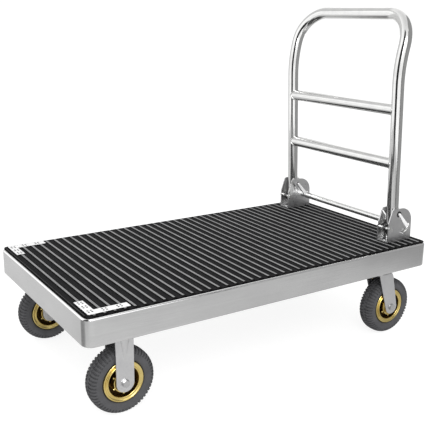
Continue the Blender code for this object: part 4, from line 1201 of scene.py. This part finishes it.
def build_swivel(label, side):
    """Plate, ball race and kingpin on the deck, and the raked fork that turns under them."""
    body = "swivel_" + label
    center_y = side * WHEEL_Y
    axis = along_z(KINGPIN_X, center_y)
    plate = bmesh.new()
    add_caster_plate(plate, KINGPIN_X, side)
    put("swivel_mount_plate_" + label, plate, "plated_steel", "deck", ["swivel_plate_" + label])
    build_plate_bolts("swivel_" + label, KINGPIN_X, side)

    low, high = [corner.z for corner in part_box("swivel_race_" + label)]
    middle = (low + high) / 2
    section = [(low, 0.016), (high, 0.016), (high, 0.0310), (middle + 0.0030, 0.0332),
               (middle + 0.0008, 0.0338), (middle + 0.0004, 0.0326), (middle - 0.0004, 0.0326),
               (middle - 0.0008, 0.0338), (middle - 0.0030, 0.0334), (low, 0.0310)]
    race = bmesh.new()
    add_turned(race, section, axis, 64, closed=True)
    put("swivel_race_ring_" + label, race, "plated_steel", "deck", ["swivel_race_" + label])

    low, high = [corner.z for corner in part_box("kingpin_" + label)]
    nut_height = 0.007
    pin = bmesh.new()
    add_hexagon(pin, along_z(KINGPIN_X, center_y, low + nut_height, -1.0), 0.018, nut_height)
    add_turned(pin, rod(low + 0.001, high, AXLE_RADIUS), axis, 28)
    put("kingpin_stud_" + label, pin, "hardware_bright", "deck", ["kingpin_" + label])

    top = CROWN_TOP
    bottom = top - CROWN_THICKNESS
    edge = 0.0008
    crown = [(bottom + edge, CROWN_RADIUS), (top - edge, CROWN_RADIUS), (top, CROWN_RADIUS - edge),
             (top, AXLE_BORE), (bottom, AXLE_BORE), (bottom, CROWN_RADIUS - edge)]
    fork = bmesh.new()
    add_turned(fork, crown, axis, 64, closed=True)
    front = KINGPIN_X - 0.020
    rear = KINGPIN_X + 0.0305
    shelf = rounded_rectangle((rear - front) / 2, LEG_INNER + LEG_THICKNESS, 0.004, 5)
    shelf = [((rear + front) / 2 + a, center_y + b) for a, b in shelf]
    hole = circle((KINGPIN_X, center_y), AXLE_BORE, 24)
    add_plate(fork, shelf, bottom + 0.0002, top - 0.0004, "XY", [hole], 0.0006)
    leg = arc((SWIVEL_WHEEL_X, WHEEL_RADIUS), 0.0215, 198, 370, 26)
    leg += [(rear + 0.0069, top - 0.014), (rear + 0.003, top - 0.006), (rear - 0.002, top - 0.0015),
            (front, top - 0.0015)]
    add_legs(fork, leg, SWIVEL_WHEEL_X, side)
    put("swivel_fork_legs_" + label, fork, "plated_steel", body, ["swivel_fork_" + label], angle=45)
    build_axle("rear", label, SWIVEL_WHEEL_X, side, body)


# ---- assembly -------------------------------------------------------------------------------
build_tray()
build_mat()
build_underframe()
build_handle_tube()
for bar_name, bar_height in CROSS_BAR_HEIGHTS.items():
    build_cross_bar(bar_name, bar_height)
build_lock_bar()
for side_name, side_sign in SIDES.items():
    build_corner_guard(side_name, side_sign)
    build_hinge_bracket(side_name, side_sign)
    build_hinge_bolt(side_name, side_sign)
    build_hinge_lug(side_name)
    build_spring(side_name)
    build_lock_arms(side_name, side_sign)
    build_fixed_fork(side_name, side_sign)
    build_axle("front", side_name, FIXED_WHEEL_X, side_sign, "deck")
    build_swivel(side_name, side_sign)
    build_wheel("front_" + side_name, FIXED_WHEEL_X, side_sign)
    build_wheel("rear_" + side_name, SWIVEL_WHEEL_X, side_sign)


# ---- stage, light and camera ----------------------------------------------------------------
def add_stage(name, data, nodes, reflections_only=True):
    """A mesh of the studio; reflections_only hides it from all but mirror-like reflections."""
    obj = add_object(name, data, nodes.material)
    if reflections_only:
        obj.visible_camera = False
        obj.visible_diffuse = False
        obj.visible_shadow = False
        obj.visible_transmission = False


def disc(height, radius):
    data = bmesh.new()
    add_turned(data, [(height, 0.0), (height, radius)], Matrix.Identity(4), 64)
    return data


def build_floor():
    """White paper floor, lit a little from below as on a light table."""
    paper = Nodes("floor_paper", grey(0.28), 0.9, Specular_IOR_Level=0.0,
                  Emission_Color=(1.0, 1.0, 1.0, 1.0), Emission_Strength=0.84)
    add_stage("floor", disc(0.0, FLOOR_RADIUS), paper, reflections_only=False)


def build_ground_reflection():
    """Painted reflection of the ground, a glowing disc that only mirror-like rays see: painted shade under
    the truck and towards the right rear.
    """
    nodes = Nodes("ground_reflection", grey(0.0), 1.0, Specular_IOR_Level=0.0, Emission_Strength=1.0)
    x = nodes.coordinate("X")
    y = nodes.coordinate("Y")

    def distance_from(point_x, point_y):
        ahead = nodes.math("SUBTRACT", x, point_x)
        aside = nodes.math("SUBTRACT", y, point_y)
        return nodes.math("SQRT", nodes.math("ADD", nodes.times(ahead, ahead), nodes.times(aside, aside)))

    # painted shade under the truck in the reflected ground
    near = nodes.spread(distance_from(0.20, 0.35), 0.52, 0.84, 0.08, 1.0)
    across = nodes.weighted(x, 0.77, y, -0.64)
    beside = nodes.spread(across, 0.28, 0.42, 0.67, 0.585)
    fade = nodes.math("MINIMUM", beside, nodes.spread(across, 1.00, 1.30, 0.70, 0.33))
    # A dark wedge of painted reflection opens from the left upright, towards -X and a little towards -Y.
    heading_x, heading_y = 0.956, 0.292
    behind = nodes.math("SUBTRACT", HANDLE_X, x)
    leftwards = nodes.math("SUBTRACT", -HANDLE_Y, y)
    along = nodes.weighted(behind, heading_x, leftwards, heading_y)
    aside = nodes.weighted(behind, heading_y, leftwards, -heading_x)
    ratio = nodes.math("DIVIDE", nodes.math("ABSOLUTE", aside), nodes.math("MAXIMUM", along, 0.01))
    beyond = nodes.spread(along, 1.45, 1.80, 1.0, 0.0)
    wedge = nodes.spread(nodes.math("ADD", ratio, beyond), 0.14, 0.34, 0.10, 1.0)
    # a darker patch of painted reflection in front of the truck
    patch = nodes.spread(distance_from(-1.10, 0.0), 0.25, 0.42, 0.36, 1.0)
    ground = nodes.times(nodes.times(near, fade), nodes.math("MINIMUM", wedge, patch))
    nodes.set(nodes.shader, Emission_Color=ground)
    add_stage("ground_reflection", disc(0.0006, 2.4), nodes)


def build_card(name, start, end, height, tone):
    """A tall glowing studio card between two points on the floor, a painted reflection that only shows in
    reflections.
    """
    data = bmesh.new()
    corners = [(*start, 0.0), (*end, 0.0), (*end, height), (*start, height)]
    data.faces.new([data.verts.new(corner) for corner in corners])
    glow_sheet = Nodes(name + "_glow_sheet", grey(0.0), 1.0, Specular_IOR_Level=0.0,
                  Emission_Color=(tone, tone, tone, 1.0), Emission_Strength=1.0)
    add_stage(name, data, glow_sheet)


def add_light(name, location, target, size, power):
    lamp = bpy.data.lights.new(name, "AREA")
    lamp.shape = "RECTANGLE"
    lamp.size, lamp.size_y = size
    lamp.energy = power
    obj = bpy.data.objects.new(name, lamp)
    obj.location = location
    heading = Vector(target) - Vector(location)
    obj.rotation_euler = heading.to_track_quat("-Z", "Y").to_euler()
    bpy.context.scene.collection.objects.link(obj)


def build_world():
    """White studio air: brightest 20 degrees up, softer straight above."""
    world = bpy.data.worlds.new("studio")
    world.use_nodes = True
    tree = world.node_tree
    coordinates = tree.nodes.new("ShaderNodeTexCoord")
    height = tree.nodes.new("ShaderNodeSeparateXYZ")
    ramp = tree.nodes.new("ShaderNodeValToRGB")
    set_stops(ramp, [(position, grey(tone)) for position, tone in SKY])
    tree.links.new(coordinates.outputs["Generated"], height.inputs["Vector"])
    tree.links.new(height.outputs["Z"], ramp.inputs["Fac"])
    tree.links.new(ramp.outputs["Color"], tree.nodes["Background"].inputs["Color"])
    bpy.context.scene.world = world


def build_camera():
    """The camera stands off the left front corner, nearly as high as the handle's grip."""
    yaw, pitch, roll = 0.577, 0.267, 0.011
    location = Vector((-1.1108, -1.6695, DECK_TOP + 0.64725))
    forward = Vector((math.sin(yaw) * math.cos(pitch), math.cos(yaw) * math.cos(pitch), -math.sin(pitch)))
    level = Vector((math.cos(yaw), -math.sin(yaw), 0.0))
    above = level.cross(forward)
    right = level * math.cos(roll) + above * math.sin(roll)
    up = above * math.cos(roll) - level * math.sin(roll)
    data = bpy.data.cameras.new("camera")
    data.sensor_width = 36.0
    data.lens = 61.0
    camera = bpy.data.objects.new("camera", data)
    axes = Matrix((right, up, -forward)).transposed().to_4x4()
    camera.matrix_world = Matrix.Translation(location) @ axes
    bpy.context.scene.collection.objects.link(camera)
    bpy.context.scene.camera = camera


build_floor()
build_ground_reflection()
# glowing cards: painted reflections for the polished steel
build_card("card_front", (-2.2, 0.05), (-1.75, -1.62), 4.5, 0.03)
build_card("card_right", (0.75, -1.55), (3.2, 0.6), 4.0, 0.33)
build_card("card_edge", (0.47, -1.64), (0.75, -1.60), 2.6, 0.10)
build_card("card_rear", (3.55, 3.55), (2.50, 4.33), 2.0, 0.30)
build_card("card_back", (1.6, 2.0), (-1.2, 2.5), 3.6, 0.70)
add_light("key", (-1.4, -2.6, 2.4), (0.0, 0.0, 0.3), (1.6, 1.6), 45.0)
build_world()
build_camera()
bpy.context.scene.view_settings.view_transform = "Standard"
